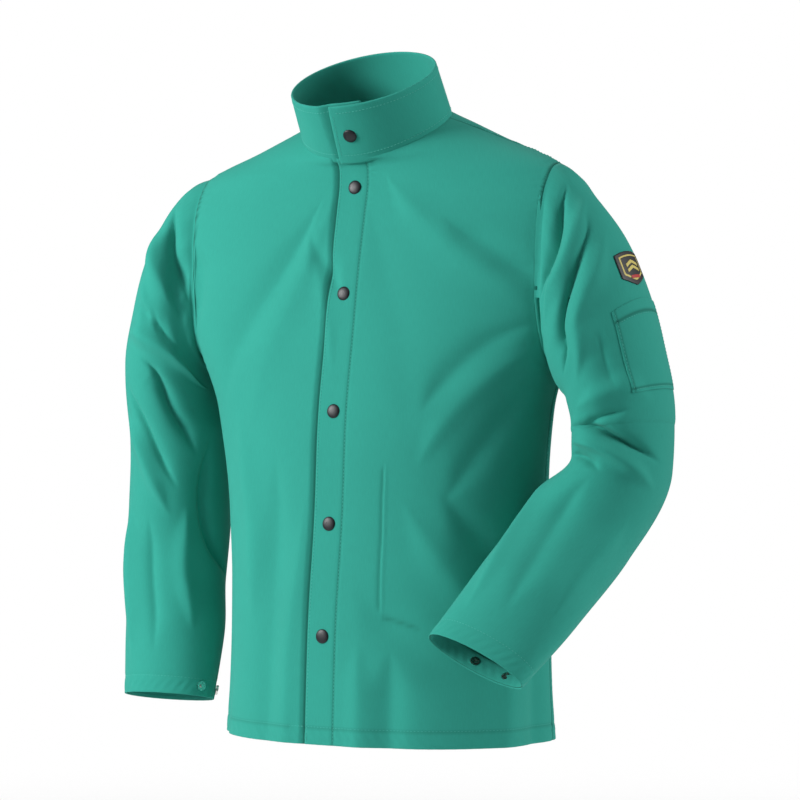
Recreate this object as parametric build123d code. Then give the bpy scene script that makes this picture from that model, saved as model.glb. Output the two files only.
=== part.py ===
from build123d import *
from functools import lru_cache
import math
import os

# Welding jacket, size large, as worn: right sleeve hanging, left sleeve bent forward.
# Millimetres. +Z up, the front faces -Y, the wearer's left is +X. z = 0 is the neck side.

CLOTH = 1.3                # modelled thickness of one ply
PLY_GAP = 0.45             # air between two plies
SEAM_DEG = 96.0            # side and shoulder seams, turned from centre front
ARMHOLE_X = 238.0          # plane of both armholes
FOLD_X = 45.0              # line the placket swings open about
PLACKET_EDGE_X = -19.0     # free edge of the overlap
UNDERLAP_X = 34.0          # free edge of the underlap
UNDERLAP_DEPTH = 8.1       # how far the underlap lies behind the outer ply
CAP_R, CAP_H = 8.2, 3.2    # domed press stud cap
SOCKET_R, SOCKET_H = 6.25, 3.4
STUD_R, NUB_R, NUB_H = 6.0, 2.1, 1.6
STEM_R, POST_R = 1.5, 5.5
SNAP_X = 2.0
SNAP_Z = (-76.0, -202.0, -340.0, -471.0, -601.0)
COLLAR_SNAP_X = 12.0
LEFT_ELBOW_BEND, RIGHT_ELBOW_BEND = 25.0, 45.0

# Torso rings: height, half width, front depth, back depth, centre x, centre y,
# slope back to front, curve of that slope, squareness.
TORSO = (
    (-726, 207, 158, 126, 8, 12, 0.00, 0.0, 2.30),
    (-600, 203, 150, 122, 8, 10, 0.00, 0.0, 2.30),
    (-460, 203, 130, 118, 6, 6, 0.00, 0.0, 2.35),
    (-340, 216, 115, 116, 3, 0, 0.00, 0.0, 2.40),
    (-250, 252, 98, 116, 0, -2, 0.00, 0.0, 2.35),
    (-170, 282, 84, 110, 0, -3, 0.02, 0.0, 2.25),
    (-105, 286, 70, 100, 0, -4, 0.08, 0.0, 2.15),
    (-58, 246, 60, 86, 0, -6, 0.20, -0.0005, 2.05),
    (-24, 164, 58, 76, 0, -9, 0.38, -0.0020, 2.00),
    (2, 96, 62, 74, 0, -14, 0.535, -0.0034, 2.00),
)
COLLAR = (
    (2, 96, 62, 74, 0, -14, 0.535, -0.0034, 2.00),
    (54, 91, 74, 70, 0, -42, 0.55, 0.0, 2.00),
)

# Sleeve rings: centre, direction of travel, half width, half depth.
LEFT_SLEEVE = (
    ((240.0, -4, -173.5), (1.00, 0.00, 0.00), 117.5, 62),
    ((256.5, -4, -192.5), (0.99, 0.00, -0.15), 107.6, 68),
    ((279.0, -4, -218.0), (0.94, 0.01, -0.34), 95.9, 74),
    ((297.5, -2, -257.0), (0.80, 0.02, -0.60), 76.1, 76),
    ((311.0, 0, -298.0), (0.53, 0.02, -0.85), 60.2, 75),
    ((319.0, 4, -349.0), (0.18, -0.02, -0.98), 56.0, 73),
    ((317.0, 5, -400.0), (-0.05, -0.22, -0.97), 56.0, 70),
    ((280.0, -24, -474.0), (-0.29, -0.58, -0.76), 64.0, 64),
    ((250.0, -100, -548.0), (-0.30, -0.62, -0.74), 66.0, 54),
    ((213.0, -156, -620.0), (-0.30, -0.62, -0.74), 65.0, 32),
)
RIGHT_SLEEVE = (
    ((-240.0, -4, -173.5), (-1.00, 0.00, 0.00), 117.5, 62),
    ((-257.5, -4, -186.0), (-0.99, 0.00, -0.15), 115.0, 68),
    ((-276.0, -4, -219.5), (-0.93, 0.00, -0.36), 99.2, 74),
    ((-288.5, -2, -263.0), (-0.79, 0.01, -0.62), 80.0, 76),
    ((-296.0, 0, -307.5), (-0.54, 0.00, -0.84), 70.0, 76),
    ((-292.0, 2, -381.0), (-0.09, -0.03, -0.99), 59.0, 73),
    ((-291.0, 0, -467.5), (-0.15, -0.08, -0.98), 62.0, 70),
    ((-292.5, -9, -537.5), (-0.08, -0.16, -0.98), 64.0, 65),
    ((-281.0, -26, -612.5), (0.03, -0.20, -0.98), 63.0, 58),
    ((-278.0, -44, -692.0), (0.02, -0.20, -0.98), 59.0, 46),
)


def knots(table, spread):
    """Spacing of a table's rows along its length, 0 to 1."""
    marks = [0.0]
    for a, b in zip(table, table[1:]):
        marks.append(marks[-1] + math.dist(spread(a), spread(b)))
    return tuple(m / marks[-1] for m in marks)


@lru_cache(maxsize=4096)
def smooth(rows, marks, s):
    """Value of each column at s, along a curve through the rows that never overshoots."""
    steps = [b - a for a, b in zip(marks, marks[1:])]
    i = max(k for k in range(len(steps)) if marks[k] <= s + 1e-12)
    t = (s - marks[i]) / steps[i]
    out = []
    for column in zip(*rows):
        rise = [(b - a) / h for a, b, h in zip(column, column[1:], steps)]
        slope = [rise[0]]
        for k in range(1, len(rise)):
            if rise[k - 1] * rise[k] <= 0:
                slope.append(0.0)
                continue
            w1, w2 = 2 * steps[k] + steps[k - 1], steps[k] + 2 * steps[k - 1]
            slope.append((w1 + w2) / (w1 / rise[k - 1] + w2 / rise[k]))
        slope.append(rise[-1])
        h = steps[i]
        out.append(
            (2 * t**3 - 3 * t**2 + 1) * column[i] + (t**3 - 2 * t**2 + t) * h * slope[i]
            + (3 * t**2 - 2 * t**3) * column[i + 1] + (t**3 - t**2) * h * slope[i + 1]
        )
    return out


TORSO_MARKS = knots(TORSO, lambda r: r[:4])
COLLAR_MARKS = knots(COLLAR, lambda r: r[:4])


def ring_point(ring, angle):
    """Point of a ring at an angle from centre front, positive to the wearer's left."""
    z, half, front, back, x0, y0, slope, curve, power = ring
    s, c = math.sin(angle), math.cos(angle)
    deep = front if c > 0 else back
    r = (abs(s / half) ** power + abs(c / deep) ** power) ** (-1 / power)
    x, y = x0 + r * s, y0 - r * c
    return Vector(x, y, z + slope * (y - y0) + curve * (y - y0) ** 2)


def surface(table, marks, s, angle, depth=0.0):
    """Point on the torso or collar, moved inward by depth along the surface's normal."""
    here = ring_point(smooth(table, marks, s), angle)
    if not depth:
        return here
    ds = 1e-3 if s < 0.5 else -1e-3
    up = (ring_point(smooth(table, marks, s + ds), angle) - here) * (1 if ds > 0 else -1)
    round_ = ring_point(smooth(table, marks, s), angle + 1e-3) - here
    return here - round_.cross(up).normalized() * depth


def angle_at_x(table, marks, s, x):
    """Angle at which the front half of a ring reaches x."""
    ring = smooth(table, marks, s)
    low, high = -math.pi / 2, math.pi / 2
    for _ in range(40):
        mid = (low + high) / 2
        low, high = (mid, high) if ring_point(ring, mid).X < x else (low, mid)
    return (low + high) / 2


def s_at_z(table, marks, x, z):
    """Place along the torso or collar where the front at x reaches height z."""
    low, high = 0.0, 1.0
    for _ in range(40):
        mid = (low + high) / 2
        below = ring_point(smooth(table, marks, mid), angle_at_x(table, marks, mid, x)).Z < z
        low, high = (mid, high) if below else (low, mid)
    return (low + high) / 2


def ease(t):
    """0 to 1 with level ends."""
    t = min(1.0, max(0.0, t))
    return t * t * (3 - 2 * t)


def ply(outside, inside):
    """Solid between two grids of points of the same size."""
    faces = [Face.make_surface_from_array_of_points(g, tol=0.02, max_deg=3) for g in (outside, inside)]
    rims = [f.edges() for f in faces]
    for edge in rims[0]:
        twin = min(rims[1], key=lambda e: (e.center() - edge.center()).length)
        faces.append(Face.make_surface_from_curves(edge, twin))
    return Solid(Shell(faces))


def spread(low, high, count):
    """Evenly spaced numbers, ends included."""
    return [low + (high - low) * i / (count - 1) for i in range(count)]


def panel(table, marks, levels, first, last, depth, count=40):
    """Ply between two edges: first and last give the angle of each edge at s."""
    sides = ([], [])
    for s in levels:
        angles = spread(first(s), last(s), count)
        sides[0].append([surface(table, marks, s, t, depth(s, t)) for t in angles])
        sides[1].append([surface(table, marks, s, t, depth(s, t) + CLOTH) for t in angles])
    return ply(*sides)


def trim(shape, *planes):
    """Keep what lies behind each plane's normal."""
    for at, normal in planes:
        shape = split(shape, Plane(origin=at, z_dir=normal), keep=Keep.BOTTOM)
    return shape


def at_x(table, marks, x):
    """Edge of a ply that runs at a steady x."""
    return lambda s: angle_at_x(table, marks, s, x)


def underlap(table, marks, plies=0):
    """Depth of the wearer's right front, which dips behind the overlap."""
    def depth(s, angle):
        x = ring_point(smooth(table, marks, s), angle).X
        back = 1 if abs(angle) > math.pi / 2 else 0
        dip = 0 if back else UNDERLAP_DEPTH * ease((x + 56) / 34)
        return dip + plies * (CLOTH + PLY_GAP)
    return depth


def steady(plies):
    """Depth of a ply that follows the outer surface."""
    return lambda s, angle: plies * (CLOTH + PLY_GAP)


def drill(shape, places, radius):
    """Round holes through a ply at each place."""
    for at, out in places:
        shape = shape - Plane(origin=at, z_dir=out) * Cylinder(radius, 40)
    return shape


def disc(place, outside, inside, radius, bore=0.0):
    """Round piece between two depths under a place, bored if asked."""
    at, out = place
    middle = at - out * ((outside + inside) / 2)
    piece = Cylinder(radius, inside - outside)
    if bore:
        piece = piece - Cylinder(bore, inside - outside + 1)
    return Plane(origin=middle, z_dir=out) * piece


def cap(place):
    """Domed cap with the stem that passes through both plies."""
    at, out = place
    radius = (CAP_R**2 + CAP_H**2) / (2 * CAP_H)
    dome = Pos(0, 0, CAP_H - radius) * Sphere(radius) & Pos(0, 0, CAP_H / 2) * Cylinder(CAP_R, CAP_H)
    dome = Plane(origin=at + out * 0.8, z_dir=out) * dome
    return dome + disc(place, -0.6, 4.2, STEM_R)


def socket(place):
    """Socket ring behind the facing, open towards the stud."""
    body = disc(place, 3.25, 3.25 + SOCKET_H, SOCKET_R, STEM_R + 0.1)
    return body - disc(place, 4.5, 3.35 + SOCKET_H, NUB_R + 0.6)


def stud(place):
    """Stud flange, nub and stem on the underlap."""
    top = 3.25 + SOCKET_H + 0.3
    piece = disc(place, top, top + 0.75, STUD_R) + disc(place, top - NUB_H, top, NUB_R)
    return piece + disc(place, top + 0.75, UNDERLAP_DEPTH + 4.2, STEM_R)


def post(place):
    """Washer behind the underlap that holds the stud."""
    return disc(place, UNDERLAP_DEPTH + 3.3, UNDERLAP_DEPTH + 4.3, POST_R, STEM_R + 0.1)


def place_on(table, marks, x, z):
    """Point and outward normal of the front at x and z."""
    s = s_at_z(table, marks, x, z)
    angle = angle_at_x(table, marks, s, x)
    at = surface(table, marks, s, angle)
    return at, (at - surface(table, marks, s, angle, 1.0)).normalized()


def sleeve_axes(ring):
    """Across and depth axes of a sleeve ring."""
    along = Vector(*ring[1]).normalized()
    deep = (Vector(0, 1, 0) - along * along.Y).normalized()
    return deep.cross(along), deep, along


def sleeve_ring(table, s):
    """Ring at a place along a sleeve."""
    v = smooth(tuple(r[0] + r[1] + r[2:] for r in table), knots(table, lambda r: r[0]), s)
    return (v[0:3], v[3:6], v[6], v[7])


def sleeve_half(table, low, high, start):
    """Front or back half of a run of sleeve, one ply thick."""
    sides = ([], [])
    count = 3 + 2 * round((high - low) * len(table))
    angles = spread(math.radians(start + 0.15), math.radians(start + 179.85), 21)
    for s in spread(low, high, count):
        for side, lift in zip(sides, (0, -CLOTH)):
            side.append([sleeve_place(table, s, a, lift)[0] for a in angles])
    return ply(*sides)


def sleeve(table, index, elbow, bend):
    """Upper and lower sleeve of two halves, parted at the elbow with room for it to bend."""
    at, axis, along = elbow
    part = knots(table, lambda r: r[0])[index]
    upper = [sleeve_half(table, 0, part - 0.0008, start) for start in (0, 180)]
    lower = [sleeve_half(table, part + 0.0008, 1, start) for start in (0, 180)]
    turned = (at + along * 0.4, -rotate(along, axis, -bend))
    return upper, [trim(half, turned) for half in lower]


def rotate(v, axis, degrees):
    """Vector turned about an axis direction."""
    t, k = math.radians(degrees), axis.normalized()
    return v * math.cos(t) + k.cross(v) * math.sin(t) + k * (k.dot(v) * (1 - math.cos(t)))


def elbow_of(table, index, axis, inset):
    """Bend axis of a sleeve: in the ring's plane, a little behind the inner crease."""
    across, deep, along = sleeve_axes(table[index])
    centre = Vector(*table[index][0])
    inner = axis.cross(along)
    inner = (inner - along * inner.dot(along)).normalized()
    reach = 1 / math.hypot(inner.dot(across) / table[index][2], inner.dot(deep) / table[index][3])
    return centre + inner * (reach - inset), (along.cross(inner)).normalized(), along


def sleeve_place(table, s, angle, lift=0.0):
    """Point and outward normal of a sleeve."""
    ring = sleeve_ring(table, s)
    across, deep, _ = sleeve_axes(ring)
    c, d = math.cos(angle), math.sin(angle)

    def skin(s_):
        r = sleeve_ring(table, s_)
        u, v, _ = sleeve_axes(r)
        return Vector(*r[0]) + u * c * r[2] + v * d * r[3]

    round_ = deep * c * ring[3] - across * d * ring[2]
    step = 1e-3 if s < 0.5 else -1e-3
    normal = round_.cross((skin(s + step) - skin(s)) * (1 if step > 0 else -1)).normalized()
    return skin(s) + normal * lift, normal


def sleeve_cover(table, low, high, first, last, lift, thickness):
    """Ply laid outside a sleeve between two places along it and two angles, in degrees."""
    sides = ([], [])
    for s in spread(low, high, 9):
        for side, out in zip(sides, (lift + thickness, lift)):
            ends = spread(math.radians(first), math.radians(last), 9)
            side.append([sleeve_place(table, s, a, out)[0] for a in ends])
    return ply(*sides)


def mark(table, index, share):
    """Place along a sleeve, a share of the way from one ring to the next."""
    marks = knots(table, lambda r: r[0])
    return marks[index] + (marks[index + 1] - marks[index]) * share


def save(name, *shapes):
    """Write one sub-part."""
    shape = shapes[0] if len(shapes) == 1 else Compound(children=list(shapes))
    export_step(shape, f"parts/{name}.step")
    print(name, len(shape.solids()), round(shape.volume), shape.is_valid)


os.makedirs("parts", exist_ok=True)
SEAM = math.radians(SEAM_DEG)
SEAM_GAP = math.radians(0.16)
LEVELS = spread(0, 1, 46)
COLLAR_LEVELS = spread(0.03, 1, 9)
TORSO_SURFACE = (TORSO, TORSO_MARKS)
COLLAR_SURFACE = (COLLAR, COLLAR_MARKS)
ARMHOLES = [((side * ARMHOLE_X, 0, 0), (side, 0, 0)) for side in (1, -1)]
body_snaps = [place_on(*TORSO_SURFACE, SNAP_X, z) for z in SNAP_Z]
collar_snap = [place_on(*COLLAR_SURFACE, COLLAR_SNAP_X, -18)]
snaps = body_snaps + collar_snap

# Back panel, over both shoulders to the side seams
back = panel(*TORSO_SURFACE, LEVELS, lambda s: SEAM + SEAM_GAP,
             lambda s: 2 * math.pi - SEAM - SEAM_GAP, steady(0), 60)
save("back_panel", trim(back, *ARMHOLES))

# Wearer's left front with the inside pocket
left = panel(*TORSO_SURFACE, LEVELS, at_x(*TORSO_SURFACE, FOLD_X + 0.4),
             lambda s: SEAM - SEAM_GAP, steady(0))
save("left_front_panel", trim(left, ARMHOLES[0]))
pocket_top, pocket_base = (s_at_z(*TORSO_SURFACE, 100, z) for z in (-404, -590))
save("inside_pocket", panel(*TORSO_SURFACE, spread(pocket_base, pocket_top, 12),
                            at_x(*TORSO_SURFACE, 73), at_x(*TORSO_SURFACE, 134), steady(1), 12))

# Wearer's right front with the underlap and its facing
right = panel(*TORSO_SURFACE, LEVELS, lambda s: -SEAM + SEAM_GAP,
              at_x(*TORSO_SURFACE, UNDERLAP_X), underlap(*TORSO_SURFACE), 60)
save("right_front_panel", drill(trim(right, ARMHOLES[1]), body_snaps, 2.2))
facing = panel(*TORSO_SURFACE, spread(0, 0.965, 46), at_x(*TORSO_SURFACE, -15),
               at_x(*TORSO_SURFACE, UNDERLAP_X - 0.5), underlap(*TORSO_SURFACE, 1), 16)
save("right_front_facing", drill(facing, body_snaps, 2.2))

# Placket with its facing, swings open about the fold line
for name, edge, plies in (("placket", PLACKET_EDGE_X, 0), ("placket_facing", PLACKET_EDGE_X + 0.6, 1)):
    strip = panel(*TORSO_SURFACE, LEVELS, at_x(*TORSO_SURFACE, edge),
                  at_x(*TORSO_SURFACE, FOLD_X - 0.4), steady(plies), 14)
    save(name, drill(strip, body_snaps, 2.2))

# Stand collar of two plies, and its overlap end
for name, plies in (("collar_outer", 0), ("collar_inner", 1)):
    ring = panel(*COLLAR_SURFACE, COLLAR_LEVELS,
                 lambda s: angle_at_x(*COLLAR_SURFACE, s, FOLD_X + 0.4) - 2 * math.pi,
                 at_x(*COLLAR_SURFACE, UNDERLAP_X), underlap(*COLLAR_SURFACE, plies), 90)
    save(name, drill(ring, collar_snap, 2.2))
for name, plies in (("collar_end_outer", 0), ("collar_end_inner", 1)):
    end = panel(*COLLAR_SURFACE, spread(0.06, 1, 9),
                lambda s: angle_at_x(*COLLAR_SURFACE, s, -13 + 9 * s + plies * 0.6),
                at_x(*COLLAR_SURFACE, FOLD_X - 0.4), steady(plies), 12)
    save(name, drill(end, collar_snap, 2.2))

# Press studs down the front and on the collar
save("placket_caps", *[cap(p) for p in body_snaps])
save("placket_sockets", *[socket(p) for p in body_snaps])
save("collar_cap", cap(collar_snap[0]))
save("collar_socket", socket(collar_snap[0]))
save("front_studs", *[stud(p) for p in snaps])
save("front_posts", *[post(p) for p in snaps])

# Sleeves, each parted at the elbow
left_elbow = elbow_of(LEFT_SLEEVE, 6, Vector(-1, 0.08, 0), 22)
right_elbow = elbow_of(RIGHT_SLEEVE, 5, Vector(-1, 0, 0), 22)
left_upper, left_lower = sleeve(LEFT_SLEEVE, 6, left_elbow, LEFT_ELBOW_BEND)
right_upper, right_lower = sleeve(RIGHT_SLEEVE, 5, right_elbow, RIGHT_ELBOW_BEND)
save("left_sleeve_upper", *left_upper)
save("right_sleeve_upper", *right_upper)

# Ring snaps on each cuff: a stud, a socket, and a washer inside behind each
for side, table, lower, angles in (
    ("left", LEFT_SLEEVE, left_lower, (75, 115)),
    ("right", RIGHT_SLEEVE, right_lower, (199, 150)),
):
    along = sleeve_axes(table[-1])[2]
    length = math.dist(table[-1][0], table[-2][0])
    places = [sleeve_place(table, mark(table, len(table) - 2, 1 - 12 / length), math.radians(a))
              for a in angles]
    save(f"{side}_sleeve_lower", *[half - disc(places[0], -3, 5, 2.2) - disc(places[1], -3, 5, 2.2)
                                  for half in lower])
    nub = disc(places[0], -1.2, -0.4, STUD_R) + disc(places[0], -2.9, -1.1, NUB_R)
    save(f"{side}_cuff_stud", nub + disc(places[0], -0.5, 3.1, STEM_R))
    ring = disc(places[1], -3.1, -0.4, SOCKET_R, STEM_R + 1.2) + disc(places[1], -1.2, -0.4, SOCKET_R)
    save(f"{side}_cuff_socket", ring + disc(places[1], -0.5, 3.1, STEM_R))
    save(f"{side}_cuff_washers", *[disc(p, 2.3, 3.3, POST_R, STEM_R + 0.1) for p in places])

# Pencil pocket and badge on the left upper sleeve
save("sleeve_pocket", sleeve_cover(LEFT_SLEEVE, mark(LEFT_SLEEVE, 3, 0.21), mark(LEFT_SLEEVE, 4, 0.64),
                                   157, 227, 0.9, CLOTH))
save("arm_badge", sleeve_cover(LEFT_SLEEVE, mark(LEFT_SLEEVE, 2, 0.45), mark(LEFT_SLEEVE, 2, 0.98),
                               166, 204, 0.9, 1.4))
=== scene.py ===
"""Welding jacket of green flame-resistant cotton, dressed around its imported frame."""

import logging
import math
from dataclasses import dataclass, field
from enum import Enum
from typing import Callable, Sequence

import bpy
import numpy as np
from mathutils import Matrix, Vector


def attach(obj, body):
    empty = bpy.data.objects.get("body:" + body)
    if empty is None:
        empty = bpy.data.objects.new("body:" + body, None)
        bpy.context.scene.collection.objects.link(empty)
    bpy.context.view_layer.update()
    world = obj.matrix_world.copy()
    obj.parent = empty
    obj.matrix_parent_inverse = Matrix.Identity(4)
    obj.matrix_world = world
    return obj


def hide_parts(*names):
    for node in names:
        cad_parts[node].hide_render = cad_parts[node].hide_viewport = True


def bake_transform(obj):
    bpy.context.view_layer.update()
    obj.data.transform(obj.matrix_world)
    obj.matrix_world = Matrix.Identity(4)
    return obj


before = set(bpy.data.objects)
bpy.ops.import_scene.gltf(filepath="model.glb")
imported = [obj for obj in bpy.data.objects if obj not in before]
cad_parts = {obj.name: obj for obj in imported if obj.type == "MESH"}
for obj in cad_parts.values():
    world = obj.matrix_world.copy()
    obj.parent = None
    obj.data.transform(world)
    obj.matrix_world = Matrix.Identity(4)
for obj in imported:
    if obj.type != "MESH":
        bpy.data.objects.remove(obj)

LOG = logging.getLogger("welding_jacket")
MM = 0.001
Grid = np.ndarray


class Side(Enum):
    """Which of the wearer's arms a sleeve belongs to."""

    LEFT = 1
    RIGHT = -1


# ---------------------------------------------------------------- forms

# Sizes and places are in millimetres on the frame's axes, and angles in radians.
SEAM = math.radians(96.0)          # angle of the side seams from the centre front
ARMHOLE = 238.0                    # distance of both armhole planes from the centre plane
PLACKET_EDGE = -19.0               # x of the placket's free edge
PLACKET_STITCH = 19.0              # x of the stitches along its sewn edge
UNDERLAP_EDGE = 34.0               # x of the hidden edge of the right front
HEM_TURN = 22.0                    # width of every turned hem
HEM_STITCH = 20.0                  # height of the hem stitches above the edge
HEM_DEPTH = 1.3                    # how far a turned hem lies behind the surface
HEM_START = math.radians(14)       # angle at which the left hem leaves the placket
SNAP_X = 2.0
SNAP_Z = (-76.0, -202.0, -340.0, -471.0, -601.0)
COLLAR_SNAP_X, COLLAR_SNAP_Z = 12.0, -18.0
FRONT_BEND = ((62, -120, -400), (28, -120, -400))
COLLAR_BEND = ((58, -90, -10), (32, -90, -10))

# Rings of the body and collar: height, half width, front and back depth, centre x and y,
# tilt, curve, and how square the oval is.
TORSO_RINGS = (
    (-726, 207, 158, 126, 8, 12, 0.00, 0.0, 2.30),
    (-600, 203, 150, 122, 8, 10, 0.00, 0.0, 2.30),
    (-460, 203, 130, 118, 6, 6, 0.00, 0.0, 2.35),
    (-340, 216, 115, 116, 3, 0, 0.00, 0.0, 2.40),
    (-250, 252, 98, 116, 0, -2, 0.00, 0.0, 2.35),
    (-170, 282, 84, 110, 0, -3, 0.02, 0.0, 2.25),
    (-105, 286, 70, 100, 0, -4, 0.08, 0.0, 2.15),
    (-58, 246, 60, 86, 0, -6, 0.20, -0.0005, 2.05),
    (-24, 164, 58, 76, 0, -9, 0.38, -0.0020, 2.00),
    (2, 96, 62, 74, 0, -14, 0.535, -0.0034, 2.00),
)
COLLAR_RINGS = (
    (2, 96, 62, 74, 0, -14, 0.535, -0.0034, 2.00),
    (54, 91, 74, 70, 0, -42, 0.55, 0.0, 2.00),
)
# Rings of the sleeves: centre, the direction of the arm there, and the two half widths.
LEFT_RINGS = (
    (240.0, -4, -173.5, 1.00, 0.00, 0.00, 117.5, 62),
    (256.5, -4, -192.5, 0.99, 0.00, -0.15, 107.6, 68),
    (279.0, -4, -218.0, 0.94, 0.01, -0.34, 95.9, 74),
    (297.5, -2, -257.0, 0.80, 0.02, -0.60, 76.1, 76),
    (311.0, 0, -298.0, 0.53, 0.02, -0.85, 60.2, 75),
    (319.0, 4, -349.0, 0.18, -0.02, -0.98, 56.0, 73),
    (317.0, 5, -400.0, -0.05, -0.22, -0.97, 56.0, 70),
    (280.0, -24, -474.0, -0.29, -0.58, -0.76, 64.0, 64),
    (250.0, -100, -548.0, -0.30, -0.62, -0.74, 66.0, 54),
    (213.0, -156, -620.0, -0.30, -0.62, -0.74, 65.0, 32),
)
RIGHT_RINGS = (
    (-240.0, -4, -173.5, -1.00, 0.00, 0.00, 117.5, 62),
    (-257.5, -4, -186.0, -0.99, 0.00, -0.15, 115.0, 68),
    (-276.0, -4, -219.5, -0.93, 0.00, -0.36, 99.2, 74),
    (-288.5, -2, -263.0, -0.79, 0.01, -0.62, 80.0, 76),
    (-296.0, 0, -307.5, -0.54, 0.00, -0.84, 70.0, 76),
    (-292.0, 2, -381.0, -0.09, -0.03, -0.99, 59.0, 73),
    (-291.0, 0, -467.5, -0.15, -0.08, -0.98, 62.0, 70),
    (-292.5, -9, -537.5, -0.08, -0.16, -0.98, 64.0, 65),
    (-281.0, -26, -612.5, 0.03, -0.20, -0.98, 63.0, 58),
    (-278.0, -44, -692.0, 0.02, -0.20, -0.98, 59.0, 46),
)


def unit(v: Grid) -> Grid:
    """Vectors along the last axis, scaled to length one."""
    return v / np.maximum(np.linalg.norm(v, axis=-1, keepdims=True), 1e-9)


def ease(t: Grid | float) -> Grid:
    """0 to 1 with level ends."""
    t = np.clip(t, 0.0, 1.0)
    return t * t * (3 - 2 * t)


def bell(t: Grid) -> Grid:
    """Smooth hump of height one at zero."""
    return np.exp(-np.square(t))


class Rings:
    """A run of measured rings, joined by a curve that never overshoots."""

    def __init__(self, rows: Sequence[Sequence[float]], place: slice) -> None:
        """Spaces the rings.

        Args:
            rows: One row of numbers for each ring.
            place: Which of those numbers say how far apart two rings are.
        """
        self.rows = np.array(rows, float)
        gaps = np.linalg.norm(np.diff(self.rows[:, place], axis=0), axis=1)
        self.length = float(gaps.sum())
        self.marks = np.concatenate([[0.0], np.cumsum(gaps)]) / self.length
        steps = np.diff(self.marks)[:, None]
        rise = np.diff(self.rows, axis=0) / steps
        slope = np.zeros_like(self.rows)
        slope[0], slope[-1] = rise[0], rise[-1]
        w1, w2 = 2 * steps[1:] + steps[:-1], steps[1:] + 2 * steps[:-1]
        with np.errstate(divide="ignore", invalid="ignore"):
            mean = (w1 + w2) / (w1 / rise[:-1] + w2 / rise[1:])
        slope[1:-1] = np.where(rise[:-1] * rise[1:] > 0, mean, 0.0)
        self.slope = slope

    def at(self, s: Grid) -> Grid:
        """Numbers of the ring at each s, along a new last axis.

        Args:
            s: Places along the run, 0 to 1.

        Returns:
            The ring's numbers at each place.
        """
        i = np.clip(np.searchsorted(self.marks, s, side="right") - 1, 0, len(self.marks) - 2)
        h = (self.marks[i + 1] - self.marks[i])[..., None]
        t = (s - self.marks[i])[..., None] / h
        a, b = self.rows[i], self.rows[i + 1]
        return (
            (2 * t**3 - 3 * t**2 + 1) * a + (t**3 - 2 * t**2 + t) * h * self.slope[i]
            + (3 * t**2 - 2 * t**3) * b + (t**3 - t**2) * h * self.slope[i + 1]
        )

    def mark(self, index: int, share: float = 0.0) -> float:
        """Place a share of the way from one ring to the next."""
        after = self.marks[min(index + 1, len(self.marks) - 1)]
        return float(self.marks[index] + (after - self.marks[index]) * share)


@dataclass(frozen=True)
class Fold:
    """A ridge, or a hollow if its height is negative, along a smooth path."""

    path: tuple[tuple[float, float], ...]
    height: float
    width: float
    lean: float = 1.0
    ends: float = 0.35

    def curve(self) -> Grid:
        """Points along the path, rounded through its corners."""
        p = np.array(self.path, float)
        if len(p) == 2:
            return p[0] + (p[1] - p[0]) * np.linspace(0, 1, 9)[:, None]
        p = np.vstack([2 * p[0] - p[1], p, 2 * p[-1] - p[-2]])
        out = []
        for k in range(1, len(p) - 2):
            a, b, c, d = p[k - 1 : k + 3]
            for t in np.linspace(0, 1, 6, endpoint=False):
                out.append(0.5 * (2 * b + (c - a) * t + (2 * a - 5 * b + 4 * c - d) * t**2
                                  + (3 * b - a - 3 * c + d) * t**3))
        return np.array(out + [p[-2]])

    def rise(self, a: Grid, b: Grid) -> Grid:
        """Height of the fold at each place.

        Args:
            a: First coordinate, in millimetres around.
            b: Second coordinate, in millimetres along.

        Returns:
            Millimetres outward.
        """
        q = self.curve()
        reach = 4.5 * self.width
        low, high = q.min(0) - reach, q.max(0) + reach
        close = (a > low[0]) & (a < high[0]) & (b > low[1]) & (b < high[1])
        total = np.zeros(close.shape)
        if close.any():
            total[close] = self.rise_near(q, np.broadcast_to(a, close.shape)[close],
                                          np.broadcast_to(b, close.shape)[close])
        return total

    def rise_near(self, q: Grid, a: Grid, b: Grid) -> Grid:
        """Height of the fold at places close to its path q.

        Args:
            q: Points along the path.
            a: First coordinate, in millimetres around.
            b: Second coordinate, in millimetres along.

        Returns:
            Millimetres outward.
        """
        best = np.full(a.shape, 1e9)
        side = np.zeros(a.shape)
        along = np.zeros(a.shape)
        runs = np.linalg.norm(np.diff(q, axis=0), axis=1)
        total, done = runs.sum(), 0.0
        for k, run in enumerate(runs):
            d = (q[k + 1] - q[k]) / max(run, 1e-6)
            ra, rb = a - q[k, 0], b - q[k, 1]
            t = np.clip(ra * d[0] + rb * d[1], 0, run)
            da, db = ra - t * d[0], rb - t * d[1]
            far = da * da + db * db
            near = far < best
            best = np.where(near, far, best)
            side = np.where(near, np.sign(d[0] * rb - d[1] * ra), side)
            along = np.where(near, (done + t) / total, along)
            done += run
        width = np.where(side > 0, self.width * self.lean, self.width / self.lean)
        fade = ease(along / self.ends) * ease((1 - along) / self.ends) if self.ends else 1.0
        swell = 0.25 + 0.75 * fade
        t = np.sqrt(best) / (width * swell)
        sharp = self.height < 0 and self.width < 12.5
        shape = np.exp(-1.6 * (np.sqrt(t * t + 0.05) - 0.2236)) if sharp else np.exp(-t**1.8)
        return self.height * fade * shape


def folded(folds: Sequence[Fold], a: Grid, b: Grid) -> Grid:
    """Sum of the folds at each place, in millimetres outward.

    Args:
        folds: The folds to add up.
        a: First coordinate, in millimetres around.
        b: Second coordinate, in millimetres along.

    Returns:
        Millimetres outward.
    """
    total = np.zeros(np.broadcast(a, b).shape)
    for fold in folds:
        total = total + fold.rise(a, b)
    return total


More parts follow.
